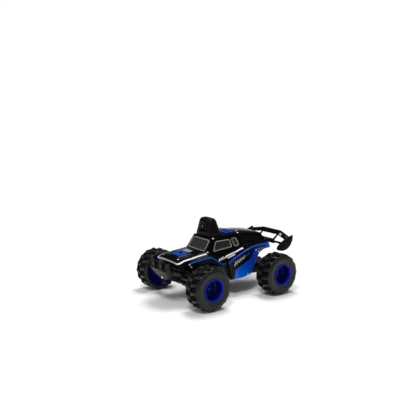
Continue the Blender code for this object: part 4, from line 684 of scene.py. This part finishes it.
# Body shell: hood, cab and bed in one thin moulding of gloss black plastic with a faint orange peel.
# Its edges are rounded, except round the openings that the windows and the engine panels fill.
OPENINGS = ("windshield", "door_window_left", "door_window_right", "quarter_window_left",
            "quarter_window_right", "engine_panel_left", "engine_panel_right")
gloss_black = moulded("gloss_black", (0.0018, 0.0018, 0.0020), (0.0034, 0.0034, 0.0037),
                      (0.15, 0.22), 2.4, 0.003, 0.05)
fillings = bmesh.new()
for node in OPENINGS:
    fillings.from_mesh(frame["nodes"][node].data)
shell_mesh = soften(merged("body_shell"), 0.45 * MM, angle=24.0, steps=3,
                    covered=BVHTree.FromBMesh(fillings))
fillings.free()
shell = stand_for(piece("shell_moulding", shell_mesh, gloss_black), "shell", "body_shell")

# Side skirts: royal blue gloss mouldings, one along each sill, with a gloss black strip down the front.
# A black film laid over the upper part leaves a blue line along the top edge and a blue tail.
SKIRT_FOOT_Z, SKIRT_TOP_Z = 13.0 * MM, 34.0 * MM
STRIP_SPOT = Vector((0.0, -4.1, 24.0)) * MM
STRIP_AHEAD = Vector((0.0, -11.0, -1.75)).normalized()


def skirt_finish():
    """Royal blue gloss plastic with painted shading: lighter at the foot of the skirt and darker higher
    up.
    """
    made, tree, shader, coords = finish_nodes("royal_blue")
    place = wired(tree, "ShaderNodeSeparateXYZ", {0: coords})
    shade_height = between(tree, place.outputs["Z"], 0.0, 1.0, SKIRT_FOOT_Z, SKIRT_TOP_Z)
    cloud = between(tree, speckle(tree, coords, 3.0 * MM), -1.0, 1.0)
    ramp = wired(tree, "ShaderNodeValToRGB", {"Fac": calc(tree, "MULTIPLY_ADD", cloud, 0.12, shade_height)})
    stops = ramp.color_ramp.elements
    # Painted shading by height: brightest at the foot, darkest a little above the middle, and a little
    # lighter at the top edge.
    stops[0].color = (0.0015, 0.125, 0.78, 1.0)
    stops[1].color = (0.003, 0.065, 0.58, 1.0)
    stops.new(0.55).color = (0.001, 0.045, 0.42, 1.0)
    feed(tree, shader, {
        "Base Color": ramp.outputs["Color"],
        "Roughness": smeared(tree, coords, 1.2 * MM, (0.18, 0.28)),
        "Normal": grained(tree, coords, 1.2 * MM, 0.005 * MM), "Specular IOR Level": 0.30})
    return made


royal = skirt_finish()
skirts = {}
for side in ("left", "right"):
    skirt = soften(merged(f"side_skirt_{side}"), 0.16 * MM, angle=30.0)
    bmesh.ops.bisect_plane(skirt, geom=skirt.verts[:] + skirt.edges[:] + skirt.faces[:],
                           plane_co=STRIP_SPOT, plane_no=STRIP_AHEAD)
    skirts[side] = piece(f"skirt_moulding_{side}", skirt, royal)
    stand_for(skirts[side], "skirt", f"side_skirt_{side}")
    skirts[side].data.materials.append(gloss_black)
    for face in skirts[side].data.polygons:
        face.material_index = int((face.center - STRIP_SPOT).dot(STRIP_AHEAD) > 0.0)

# Printed films: thin coloured sheets laid on the shell and the skirts, cut to plain stripes and panels.
# Each is cut flat, then dropped on the surface that it meets along its own direction.
SIDEWAYS, LENGTHWAYS = Vector((1.0, 0.0, 0.0)), Vector((0.0, 1.0, 0.0))
DROP = 0.2
LOOKS = {
    "down": (Vector((0, 0, -1)), lambda u, v: Vector((u, v, DROP))),
    "left": (Vector((-1, 0, 0)), lambda u, v: Vector((DROP, u, v))),
    "right": (Vector((1, 0, 0)), lambda u, v: Vector((-DROP, u, v))),
}
RIBBON_STEP = 0.4 * MM
RIBBON_TOP = 0.10 * MM
RIBBON_FOOT = RIBBON_TOP - 0.20 * MM
RIBBON_SPAN = 4
RIBBON_SHARES = (-1.0, -0.5, 0.0, 0.5, 1.0)


def carrier_tree(*carriers):
    """The finished surfaces of some pieces, to drop a film on."""
    points, faces = [], []
    depsgraph = bpy.context.evaluated_depsgraph_get()
    for carrier in carriers:
        mesh = carrier.evaluated_get(depsgraph).data
        start = len(points)
        points += [carrier.matrix_world @ v.co for v in mesh.vertices]
        faces += [[start + i for i in p.vertices] for p in mesh.polygons]
    return BVHTree.FromPolygons(points, faces)


def sliced(bm, normal, pitch, snap):
    """Cuts a mesh along planes that lie a pitch apart."""
    reaches = [normal.dot(v.co) for v in bm.verts]
    mark = math.ceil(min(reaches) / pitch) * pitch
    while mark < max(reaches):
        bmesh.ops.bisect_plane(bm, geom=bm.verts[:] + bm.edges[:] + bm.faces[:],
                               plane_co=normal * mark, plane_no=normal, dist=snap)
        mark += pitch


def film(name, outlines, look, surface, finish, lift=0.07, thick=0.16, step=0.6):
    """Outlines laid along a look direction on a surface as one thin closed sheet, in millimetres."""
    along, start = LOOKS[look]
    bm = bmesh.new()
    for outline in outlines:
        bm.faces.new([bm.verts.new((u * MM, v * MM, 0.0)) for u, v in outline])
    bmesh.ops.triangulate(bm, faces=bm.faces)
    for normal in (SIDEWAYS, LENGTHWAYS):
        sliced(bm, normal, step * MM, 1e-7)
    bmesh.ops.remove_doubles(bm, verts=bm.verts, dist=0.01 * MM)
    starts = {v: start(v.co.x, v.co.y) for v in bm.verts}
    hits = {v: surface.ray_cast(spot, along) for v, spot in starts.items()}
    reaches = [hit[3] for hit in hits.values() if hit[0]]
    reach = sum(reaches) / len(reaches)
    for v, hit in hits.items():
        spot = hit[0] or surface.find_nearest(starts[v] + along * reach)[0]
        v.co = spot - along * (lift * MM)
    bmesh.ops.dissolve_degenerate(bm, dist=0.02 * MM, edges=bm.edges)
    under = {v: bm.verts.new(v.co + along * (thick * MM)) for v in bm.verts[:]}
    rim = [e for e in bm.edges if e.is_boundary]
    for f in bm.faces[:]:
        bm.faces.new([under[v] for v in reversed(f.verts)])
    for e in rim:
        a, b = e.verts
        bm.faces.new((a, b, under[b], under[a]))
    outwards(bm)
    made = piece(name, bm, finish, sharp=45.0)
    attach(made, "chassis")


def band(path, width):
    """Outline of a stripe of a width along an open path."""
    left, right = [], []
    for k, point in enumerate(path):
        here = Vector(point)
        ahead = Vector(path[min(k + 1, len(path) - 1)]) - here
        behind = here - Vector(path[max(k - 1, 0)])
        ahead = ahead.normalized() if ahead.length else behind.normalized()
        behind = behind.normalized() if behind.length else ahead
        along = (ahead + behind).normalized()
        across = Vector((-along.y, along.x)) * (width / 2 / max(0.5, along.dot(ahead)))
        left.append(tuple(here + across))
        right.append(tuple(here - across))
    return left + right[::-1]


film_white = moulded("white_film", (0.62, 0.64, 0.68), (0.74, 0.75, 0.78), (0.30, 0.42),
                     0.5, 0.004, 0.35)
film_blue = moulded("blue_film", (0.001, 0.042, 0.31), (0.003, 0.066, 0.43), (0.34, 0.46),
                    0.5, 0.004, 0.10)
film_black = moulded("black_film", (0.0025, 0.0025, 0.003), (0.005, 0.005, 0.006), (0.22, 0.32),
                     0.5, 0.004, 0.14)
film_silver = moulded("silver_film", (0.30, 0.32, 0.35), (0.44, 0.45, 0.48), (0.34, 0.48),
                      0.4, 0.006, 0.3)
shell_top = carrier_tree(shell)


def ribbon(name, path, width, surface, finish):
    """A stripe laid along a path in space, in millimetres, and bent round the edges that it follows."""
    points = []
    for a, b in zip(path, path[1:]):
        a, b = Vector(a) * MM, Vector(b) * MM
        count = max(1, round((b - a).length / RIBBON_STEP))
        points += [a.lerp(b, k / count) for k in range(count)]
    points.append(Vector(path[-1]) * MM)
    found = [surface.find_nearest(point)[:2] for point in points]
    bm = bmesh.new()
    rows = []
    for k, (spot, _) in enumerate(found):
        near = found[max(0, k - RIBBON_SPAN):k + RIBBON_SPAN + 1]
        facing = sum((way for _, way in near), Vector()).normalized()
        along = near[-1][0] - near[0][0]
        across = along.cross(facing).normalized() * (width * MM / 2)
        row = []
        for share in RIBBON_SHARES:
            rest, way = surface.find_nearest(spot + across * share)[:2]
            out = (way + facing).normalized()
            row.append([bm.verts.new(rest + out * height) for height in (RIBBON_TOP, RIBBON_FOOT)])
        rows.append(row)
    last = len(RIBBON_SHARES) - 1
    for first, second in zip(rows, rows[1:]):
        for k in range(last):
            bm.faces.new((first[k][0], first[k + 1][0], second[k + 1][0], second[k][0]))
            bm.faces.new((first[k][1], second[k][1], second[k + 1][1], first[k + 1][1]))
        for k in (0, last):
            bm.faces.new((first[k][0], second[k][0], second[k][1], first[k][1]))
    for row in (rows[0], rows[-1]):
        for k in range(last):
            bm.faces.new((row[k][0], row[k][1], row[k + 1][1], row[k + 1][0]))
    outwards(bm)
    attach(piece(name, bm, finish, sharp=50.0), "chassis")


hood_edge = [(12.9, -20.8, 33.6), (13.2, -25.0, 33.3), (13.6, -31.0, 32.9), (13.8, -36.0, 32.4),
             (13.9, -41.5, 31.7), (13.7, -45.4, 29.8), (10.6, -46.2, 30.2), (6.0, -46.4, 30.55)]
hood_edge += [(-x, y, z) for x, y, z in reversed(hood_edge)]
ribbon("hood_line", smooth_line(hood_edge), 1.3, shell_top, film_white)

SKIRT_FILM = [(-4.7, 24.1), (-2.1, 26.1), (2.2, 28.3), (7.1, 30.3), (12.0, 32.1), (16.5, 33.6),
              (21.2, 34.5), (26.9, 34.6), (31.0, 34.4), (33.3, 32.7), (26.6, 32.8), (22.0, 32.7),
              (20.5, 31.9), (19.3, 30.3), (16.4, 26.3), (12.2, 24.4), (2.8, 20.6), (0.9, 19.5),
              (-0.5, 13.2), (-2.9, 13.2)]
CREASE_FRONT = [(-38.3, 29.7), (-34.0, 30.5), (-27.8, 31.1), (-19.2, 31.7)]
CREASE_DIP = [(-18.2, 31.3), (-12.0, 26.7), (-10.6, 25.7), (-9.0, 25.2), (-6.6, 25.35)]
crease = smooth_line(CREASE_FRONT, rounds=1) + smooth_line(CREASE_DIP, rounds=1)
for side in ("left", "right"):
    film(f"skirt_film_{side}", [SKIRT_FILM], side, carrier_tree(skirts[side]), film_black)
    film(f"crease_line_{side}", [band(crease, width=0.8)], side, shell_top, film_blue,
         lift=0.15, thick=0.3, step=0.25)


def slanted(u, v, length, tall, lean):
    """A slanted bar: its low front corner, its length, its height and how far its top leans back."""
    return [(u, v), (u + length, v), (u + length + lean, v + tall), (u + lean, v + tall)]


LONG_STRIPE = [(-7.6, 28.6), (-4.6, 29.6), (1.2, 31.4), (11.6, 33.9), (11.1, 34.6), (0.6, 32.2),
               (-5.4, 30.5)]
SHORT_STRIPE = [(-3.8, 28.5), (3.0, 30.7), (2.5, 31.3), (-4.4, 29.1)]
ticks = [slanted(-12.6 + 1.7 * k, 27.6 + 0.45 * k, 0.9, 1.8, 1.1) for k in range(3)]
bars = [slanted(-0.2 + 2.15 * k, 22.6 + 1.05 * k, 1.15, 3.4 - 0.25 * k, 1.5) for k in range(5)]
accents = [slanted(11.2 + 1.5 * k, 28.0 + 0.6 * k, 0.7, 2.0, 1.0) for k in range(3)]
for side in ("left", "right"):
    skirt_side = carrier_tree(skirts[side])
    stripes = [LONG_STRIPE, SHORT_STRIPE] + ticks
    film(f"side_stripes_{side}", stripes, side, shell_top, film_white)
    film(f"skirt_bars_{side}", bars, side, skirt_side, film_silver, lift=0.13)
    film(f"skirt_accents_{side}", accents, side, skirt_side, film_blue, lift=0.13)


def panel(left, front, right, back):
    """A plain rectangle seen from above."""
    return [(left, front), (right, front), (right, back), (left, back)]


hood_bars = [panel(-4.2, -39.6, 4.2, -35.8), panel(-4.2, -35.8, -1.4, -33.0),
             panel(1.4, -35.8, 4.2, -33.0), panel(-4.2, -33.0, 4.2, -30.4),
             [(-7.6, -41.0), (-7.0, -41.0), (-7.0, -33.0), (-7.6, -34.0)],
             [(7.6, -41.0), (7.0, -41.0), (7.0, -33.0), (7.6, -34.0)]]
film("hood_bars", hood_bars, "down", shell_top, film_blue, step=0.2)
hood_greys = [panel(-4.2, -30.0, 4.2, -28.8), panel(-4.2, -28.2, 4.2, -27.4),
              panel(-4.2, -26.8, 4.2, -26.4)]
film("hood_greys", hood_greys, "down", shell_top, film_silver)
roof_bars = []
for row, start in ((-8.6, 1.0), (-0.4, 2.2)):
    for along in (0.0, 3.6, 7.2):
        roof_bars.append([(row, start + along), (row + 6.6, start + 1.0 + along),
                          (row + 6.6, start + 3.2 + along), (row, start + 2.2 + along)])
film("roof_bars", roof_bars, "down", shell_top, film_blue)

# Body screws: small zinc-plated heads that hold the shell, the skirts and the nose.
# Geometry Nodes stand one head on each point, turned to the surface under it.
STUD_SPOTS = [(8.8, -42.8, 32.2), (12.5, -19.3, 34.5), (11.4, -13.6, 43.7), (17.0, -38.5, 29.3),
              (17.1, -36.9, 27.4), (18.4, 21.9, 31.5), (18.2, 24.6, 30.0), (20.1, 12.8, 14.7),
              (5.4, 13.2, 45.1), (10.6, 10.0, 45.3)]


def stud_points(spots, surface):
    """Points on the nearest surface on both sides of the truck, each with the way it faces."""
    bm = bmesh.new()
    facing = bm.verts.layers.float_vector.new("facing")
    for x, y, z in spots:
        for mirror in (1.0, -1.0):
            spot, normal, _, _ = surface.find_nearest(Vector((mirror * x, y, z)) * MM)
            bm.verts.new(spot)[facing] = normal
    return bm


def stud_tree():
    """Stands a head on every point, along the point's own facing."""
    tree, given, leave = node_tree("heads_on_points", (
        ("Head", "NodeSocketObject"), ("Finish", "NodeSocketMaterial")))
    facing = wired(tree, "GeometryNodeInputNamedAttribute", {"Name": "facing"},
                   data_type="FLOAT_VECTOR")
    turn = wired(tree, "FunctionNodeAlignRotationToVector", {"Vector": facing.outputs["Attribute"]},
                 axis="Z")
    head = wired(tree, "GeometryNodeObjectInfo", {"Object": given["Head"]})
    stand = wired(tree, "GeometryNodeInstanceOnPoints", {
        "Points": given["Geometry"], "Instance": head.outputs["Geometry"],
        "Rotation": turn.outputs["Rotation"]})
    return close_tree(tree, given, leave, stand.outputs["Instances"])


stud_head = placed("stud_blank", screw_head(0.65 * MM, 0.45 * MM, zinc))
body_skin = carrier_tree(shell, skirts["left"], skirts["right"])
studs = grown("body_screws", stud_points(STUD_SPOTS, body_skin), stud_tree(),
              {"Head": stud_head, "Finish": zinc}, HEAD_SHARP)
bpy.data.objects.remove(stud_head)
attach(studs, "chassis")

# Windows: moulded dark mesh panes, each held by a narrow silver frame that sits on the shell and fills
# its seam. The mesh is cut as a slanted grid, and Geometry Nodes sink a pocket in every cell, whose floor
# is painted near black as painted shade.
WINDSHIELD_FOOT = Vector((0.0, FRONT_Y + 13.2 * MM, AXLE_Z + 19.45 * MM))
WINDSHIELD_UP = Vector((0.0, 6.3, 9.1)).normalized()
SIDE_FOOT = Vector((14.0 * MM, FRONT_Y, AXLE_Z + 19.1 * MM))
SIDE_UP = Vector((-0.287, 0.0, 1.0)).normalized()
CORNER_STEPS = 4
CORNER_SHARE = 0.45
FRAME_CORNER, LEAST_CORNER = 1.2, 0.2
FRAME_SECTION = [(-0.38, -0.08), (-0.34, 0.08), (-0.22, 0.15), (0.14, 0.15), (0.26, 0.06),
                 (0.28, -0.60), (0.06, -0.60), (0.06, -0.08)]
PANE_INSET, PANE_CORNER = 0.2, 0.8
PANE_FRONT, PANE_BACK = -0.42, -1.0
WINDOW_PITCH = 0.72
SMALL_CELL = 0.1 * WINDOW_PITCH ** 2
POCKET_SHARE, POCKET_DEPTH = 0.64, -0.22 * MM
WINDSHIELD = [(-10.2, 0.5), (10.2, 0.5), (9.7, 9.0), (-9.7, 9.0)]
DOOR_WINDOW = [(19.2, 0.4), (36.3, 1.6), (35.0, 7.1), (22.4, 7.0)]
QUARTER_WINDOW = [(39.4, 1.3), (43.4, 2.2), (41.2, 7.8), (37.0, 7.3)]


def windshield_plane(u, v, w):
    """u across, v up the slanted windshield from the hood, w out of it, in millimetres."""
    out = Vector((0.0, -WINDSHIELD_UP.z, WINDSHIELD_UP.y))
    return WINDSHIELD_FOOT + (Vector((u, 0.0, 0.0)) + WINDSHIELD_UP * v + out * w) * MM


def side_plane(outward):
    """u back from the front axle, v up the leaning side from the belt, w out of it, in millimetres."""
    out = Vector((SIDE_UP.z, 0.0, -SIDE_UP.x))

    def to_space(u, v, w):
        spot = SIDE_FOOT + (Vector((0.0, u, 0.0)) + SIDE_UP * v + out * w) * MM
        return Vector((outward * spot.x, spot.y, spot.z))

    return to_space


def inset(outline, distance):
    """A convex outline moved inwards on every side."""
    count = len(outline)
    middle = sum((Vector(p) for p in outline), Vector((0.0, 0.0))) / count
    lines = []
    for k in range(count):
        a, b = Vector(outline[k]), Vector(outline[(k + 1) % count])
        along = (b - a).normalized()
        normal = Vector((-along.y, along.x))
        if normal.dot(middle - a) < 0:
            normal = -normal
        lines.append((a + normal * distance, along))
    moved = []
    for k in range(count):
        (p, d), (q, e) = lines[k - 1], lines[k]
        t = ((q - p).x * e.y - (q - p).y * e.x) / (d.x * e.y - d.y * e.x)
        moved.append(tuple(p + d * t))
    return moved


def fillet(outline, radius):
    """A closed outline with its corners rounded."""
    count = len(outline)
    points = []
    for k in range(count):
        here = Vector(outline[k])
        back, ahead = Vector(outline[k - 1]) - here, Vector(outline[(k + 1) % count]) - here
        reach = min(radius, CORNER_SHARE * back.length, CORNER_SHARE * ahead.length)
        a, b = here + back.normalized() * reach, here + ahead.normalized() * reach
        for n in range(CORNER_STEPS + 1):
            t = n / CORNER_STEPS
            points.append(tuple(a * (1 - t) ** 2 + here * 2 * t * (1 - t) + b * t ** 2))
    return points


def ring_mesh(outline, corner, section, to_space):
    """A closed frame along an outline. section lists (inset, height) round the frame's profile."""
    bm = bmesh.new()
    loops = []
    for distance, height in section:
        line = fillet(inset(outline, distance), max(LEAST_CORNER, corner - distance))
        loops.append([bm.verts.new(to_space(u, v, height)) for u, v in line])
    walled(bm, loops + loops[:1])
    outwards(bm)
    return bm


def pane_mesh(outline, to_space):
    """A pane whose front is cut into slanted cells, marked with the attribute cell."""
    bm = bmesh.new()
    line = fillet(inset(outline, PANE_INSET), PANE_CORNER)
    bm.faces.new([bm.verts.new((u, v, 0.0)) for u, v in line])
    for lean in (1.0, -1.0):
        sliced(bm, Vector((1.0, lean, 0.0)).normalized(), WINDOW_PITCH, 1e-5)
    cell = bm.faces.layers.float.new("cell")
    for f in bm.faces:
        f[cell] = 1.0 if f.calc_area() > SMALL_CELL else 0.0
    for v in bm.verts:
        v.co.z = PANE_FRONT
    rim = [e for e in bm.edges if e.is_boundary]
    edge_points = dict.fromkeys(v for e in rim for v in e.verts)
    under = {v: bm.verts.new((v.co.x, v.co.y, PANE_BACK)) for v in edge_points}
    for e in rim:
        a, b = e.verts
        bm.faces.new((a, b, under[b], under[a]))
    bmesh.ops.holes_fill(bm, edges=[e for e in bm.edges if e.is_boundary])
    outwards(bm)
    for v in bm.verts:
        v.co = to_space(*v.co)
    outwards(bm)
    return bm


def pocket_tree():
    """Shrinks a copy of every marked face within itself and sinks it, and marks each sunk floor for
    painted shade.
    """
    tree, given, leave = node_tree("sunk_cells", (
        ("Share", "NodeSocketFloat"), ("Depth", "NodeSocketFloat"), ("Finish", "NodeSocketMaterial")))
    mark = wired(tree, "GeometryNodeInputNamedAttribute", {"Name": "cell"}, data_type="FLOAT")
    lift = wired(tree, "GeometryNodeExtrudeMesh", {
        "Mesh": given["Geometry"], "Selection": mark.outputs["Attribute"], "Offset Scale": 0.0,
        "Individual": True}, mode="FACES")
    shrink = wired(tree, "GeometryNodeScaleElements", {
        "Geometry": lift.outputs["Mesh"], "Selection": lift.outputs["Top"], "Scale": given["Share"]})
    facing = wired(tree, "GeometryNodeInputNormal", {})
    push = wired(tree, "ShaderNodeVectorMath", {
        0: facing.outputs["Normal"], "Scale": given["Depth"]}, operation="SCALE")
    sink = wired(tree, "GeometryNodeExtrudeMesh", {
        "Mesh": shrink.outputs[0], "Selection": lift.outputs["Top"], "Offset": push.outputs[0],
        "Individual": True}, mode="FACES")
    pocket_shade_mark = wired(tree, "GeometryNodeStoreNamedAttribute", {
        "Geometry": sink.outputs["Mesh"], "Selection": sink.outputs["Top"], "Name": "pocket",
        "Value": 1.0}, data_type="FLOAT", domain="FACE")
    return close_tree(tree, given, leave, pocket_shade_mark.outputs["Geometry"])


def window_finish():
    """Dark grey moulded mesh, painted near black at the floor of its pockets as painted shade."""
    made, tree, shader, coords = finish_nodes("window_mesh")
    web = clouded(tree, coords, 3.0 * MM, (0.031, 0.033, 0.034), (0.046, 0.048, 0.049))
    feed(tree, shader, {
        "Base Color": shade(tree, marked(tree, "pocket"), web, (0.011, 0.011, 0.0115, 1.0)),
        "Roughness": smeared(tree, coords, 1.2 * MM, (0.34, 0.48)), "Specular IOR Level": 0.22})
    return made


window_dark = window_finish()
frame_silver = moulded("silver_frame", (0.20, 0.20, 0.19), (0.31, 0.305, 0.29), (0.32, 0.46),
                       0.3, 0.006, 0.35)
sunk_cells = pocket_tree()
WINDOWS = [("windshield", windshield_plane, WINDSHIELD)]
for label, outward in (("left", 1.0), ("right", -1.0)):
    WINDOWS.append((f"door_window_{label}", side_plane(outward), DOOR_WINDOW))
    WINDOWS.append((f"quarter_window_{label}", side_plane(outward), QUARTER_WINDOW))
for label, to_space, outline in WINDOWS:
    pane = grown(f"{label}_mesh", pane_mesh(outline, to_space), sunk_cells,
                 {"Share": POCKET_SHARE, "Depth": POCKET_DEPTH, "Finish": window_dark}, sharp=30.0)
    stand_for(pane, "window", label)
    ring = ring_mesh(outline, FRAME_CORNER, FRAME_SECTION, to_space)
    rim = piece(f"{label}_frame", ring, frame_silver, sharp=50.0)
    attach(rim, "chassis")

# Engine panels: relief mouldings in satin black plastic, set back in the sides of the load bed.
# A plain ring of the same plastic lies behind the seam round each of them.
BED = [(46.6, 2.2), (65.6, 3.4), (64.2, 7.6), (46.6, 9.2)]
BACKING_CORNER = 0.6
BACKING_SECTION = [(-1.2, -1.10), (-1.2, -1.50), (0.9, -1.50), (0.9, -1.10)]
satin_black = moulded("satin_black", (0.003, 0.003, 0.0034), (0.006, 0.006, 0.0065), (0.32, 0.42),
                      0.35, 0.006, 0.07)
for label, outward in (("left", 1.0), ("right", -1.0)):
    softened(f"engine_relief_{label}", f"engine_panel_{label}", 0.16 * MM, satin_black, "nylon")
    ring = ring_mesh(BED, BACKING_CORNER, BACKING_SECTION, side_plane(outward))
    backing = piece(f"engine_seam_{label}", ring, satin_black)
    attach(backing, "chassis")

# Roof camera: a satin black pod screwed to the roof, with a tilting camera block in its window.
# The lens is a stepped black barrel round a coated glass. Both are turned, in shares of the
# solid's radius and depth.
BARREL = [(0.0, 0.0), (1.0, 0.0), (1.0, 0.80), (0.93, 1.0), (0.80, 1.0), (0.74, 0.72), (0.62, 0.72),
          (0.58, 0.50), (0.0, 0.50)]
LENS_DOME = [(0.0, 0.45), (0.56, 0.45), (0.55, 0.56), (0.42, 0.70), (0.22, 0.77), (0.0, 0.80)]
softened("pod_moulding", "camera_pod", 0.55 * MM, satin_black, "nylon", angle=20.0, steps=3)
softened("camera_case", "camera_block", 0.22 * MM, satin_black, "nylon")


def glass_finish():
    """Dark coated lens glass with a faint violet bloom."""
    made, tree, shader, coords = finish_nodes("coated_glass")
    bloom = between(tree, speckle(tree, coords, 1.4 * MM), 0.0, 1.0)
    feed(tree, shader, {
        "Base Color": shade(tree, bloom, (0.004, 0.004, 0.010, 1.0), (0.012, 0.008, 0.030, 1.0)),
        "Roughness": between(tree, bloom, 0.04, 0.09), "Coat Weight": 0.6, "Coat Roughness": 0.03})
    return made


def turned_in(node, name, shares, finish):
    """A profile in shares of a solid's radius and depth, turned to face forward in the solid's place."""
    low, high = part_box(node)
    radius, depth = (high.x - low.x) / 2, high.y - low.y
    spot = ((low.x + high.x) / 2, high.y, (low.z + high.z) / 2)
    profile = [(out * radius, along * depth) for out, along in shares]
    blank = piece(name + "_blank", turned(profile, steps=40, axis="Z"), finish)
    made = pointed(blank.data, name, spot, FORWARD)
    bpy.data.objects.remove(blank)
    return made


coated_glass = glass_finish()
lens_barrel = turned_in("camera_lens", "lens_barrel", BARREL, satin_black)
stand_for(lens_barrel, "camera_glass", "camera_lens")
lens_glass = turned_in("camera_lens", "lens_glass", LENS_DOME, coated_glass)
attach(lens_glass, "camera")

# Front bumper: one dark grey nylon moulding screwed under the nose. Its faces from 3.5 mm under the lamps
# upwards are painted satin black as painted shade round the lamps, but the front faces at both ends keep
# the grey. Each lamp is a turned cup round a dark glass, in a grey ring.
LAMP_Z = AXLE_Z + 12.9 * MM
low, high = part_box("headlamp_left")
LAMP_X = (low.x + high.x) / 2
LAMP_RING = 3.4 * MM
SHADE_FOOT_Z = LAMP_Z - 3.5 * MM
SHADE_END_X = 10.7 * MM
LAMP_CUP = [(0.0, 0.0), (1.0, 0.0), (1.0, 0.92), (0.90, 1.0), (0.80, 0.90), (0.62, 0.35), (0.0, 0.35)]
LAMP_DOME = [(0.0, 0.30), (0.44, 0.30), (0.46, 0.50), (0.38, 0.68), (0.20, 0.78), (0.0, 0.82)]
bumper_grey = moulded("bumper_grey", (0.015, 0.0155, 0.016), (0.025, 0.026, 0.027), (0.38, 0.52),
                      0.3, 0.012, 0.16)
shield = softened("bumper_shield", "front_bumper", 0.25 * MM, bumper_grey, "nylon", angle=26.0)
# Painted shade: the faces above the line under the lamps take satin black, except the front faces at the
# ends and the rings round the lamps.
shield.data.materials.append(satin_black)
for face in shield.data.polygons:
    x, z = abs(face.center.x), face.center.z
    on_front = face.normal.y < -0.5
    on_strip = on_front and x > SHADE_END_X
    on_ring = on_front and math.dist((LAMP_X, LAMP_Z), (x, z)) < LAMP_RING
    if z > SHADE_FOOT_Z and not on_strip and not on_ring:
        face.material_index = 1
lamp_chrome = moulded("lamp_reflector", (0.035, 0.036, 0.038), (0.060, 0.061, 0.064), (0.30, 0.42),
                      0.2, 0.004, 0.4)
for label in ("left", "right"):
    cup = turned_in(f"headlamp_{label}", f"lamp_cup_{label}", LAMP_CUP, lamp_chrome)
    stand_for(cup, "lamp", f"headlamp_{label}")
    bulb = turned_in(f"headlamp_{label}", f"lamp_lens_{label}", LAMP_DOME, coated_glass)
    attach(bulb, "chassis")

# Rear wing: a gull-shaped blade moulded in gloss black, held between two end plates.
# A satin black nylon mount with struts and stays carries it behind the bed.
# A small silver patch on the blade near its left bend.
WING_PATCH = [(11.9, 50.6), (14.9, 50.2), (14.9, 52.2), (11.9, 52.6)]
wing = softened("wing_gull", "wing_blade", 0.16 * MM, gloss_black, "shell", angle=20.0)
film("wing_tag", [WING_PATCH], "down", carrier_tree(wing), film_silver, lift=0.16, thick=0.3, step=0.3)
softened("wing_frame", "wing_mount", 0.22 * MM, satin_black, "nylon")
for side in ("left", "right"):
    softened(f"end_plate_{side}", f"wing_endplate_{side}", 0.25 * MM, gloss_black, "shell")

# Drive and electrics, mostly hidden: a wrapped cell, a board, a steel-cased motor with a brass pinion,
# a white acetal spur gear, plain steel axle and kingpins. They keep their solids and take finer finishes.
bright_steel = metal_finish("bright_steel", (0.40, 0.41, 0.42), (0.58, 0.58, 0.59), (0.24, 0.40), 0.12)
brass = metal_finish("turned_brass", (0.50, 0.34, 0.12), (0.68, 0.48, 0.19), (0.24, 0.40), 0.12)
acetal = moulded("white_acetal", (0.62, 0.61, 0.58), (0.74, 0.73, 0.70), (0.34, 0.46),
                 0.3, 0.006, 0.4)
cell_wrap = moulded("cell_wrap", (0.010, 0.040, 0.20), (0.016, 0.062, 0.30), (0.22, 0.34),
                    1.6, 0.010, 0.4)
board_green = moulded("board_lacquer", (0.006, 0.060, 0.022), (0.012, 0.100, 0.038), (0.24, 0.38),
                      0.5, 0.02, 0.45)
INNER = {"battery_pack": cell_wrap, "circuit_board": board_green, "power_switch": satin_black,
         "charge_socket": nylon, "drive_motor": bright_steel, "motor_pinion": brass,
         "spur_gear": acetal, "rear_axle": bright_steel, "kingpin_left": bright_steel,
         "kingpin_right": bright_steel, "servo_horn": acetal}
for node, finish in INNER.items():
    for place in frame["nodes"][node].material_slots:
        place.material = finish
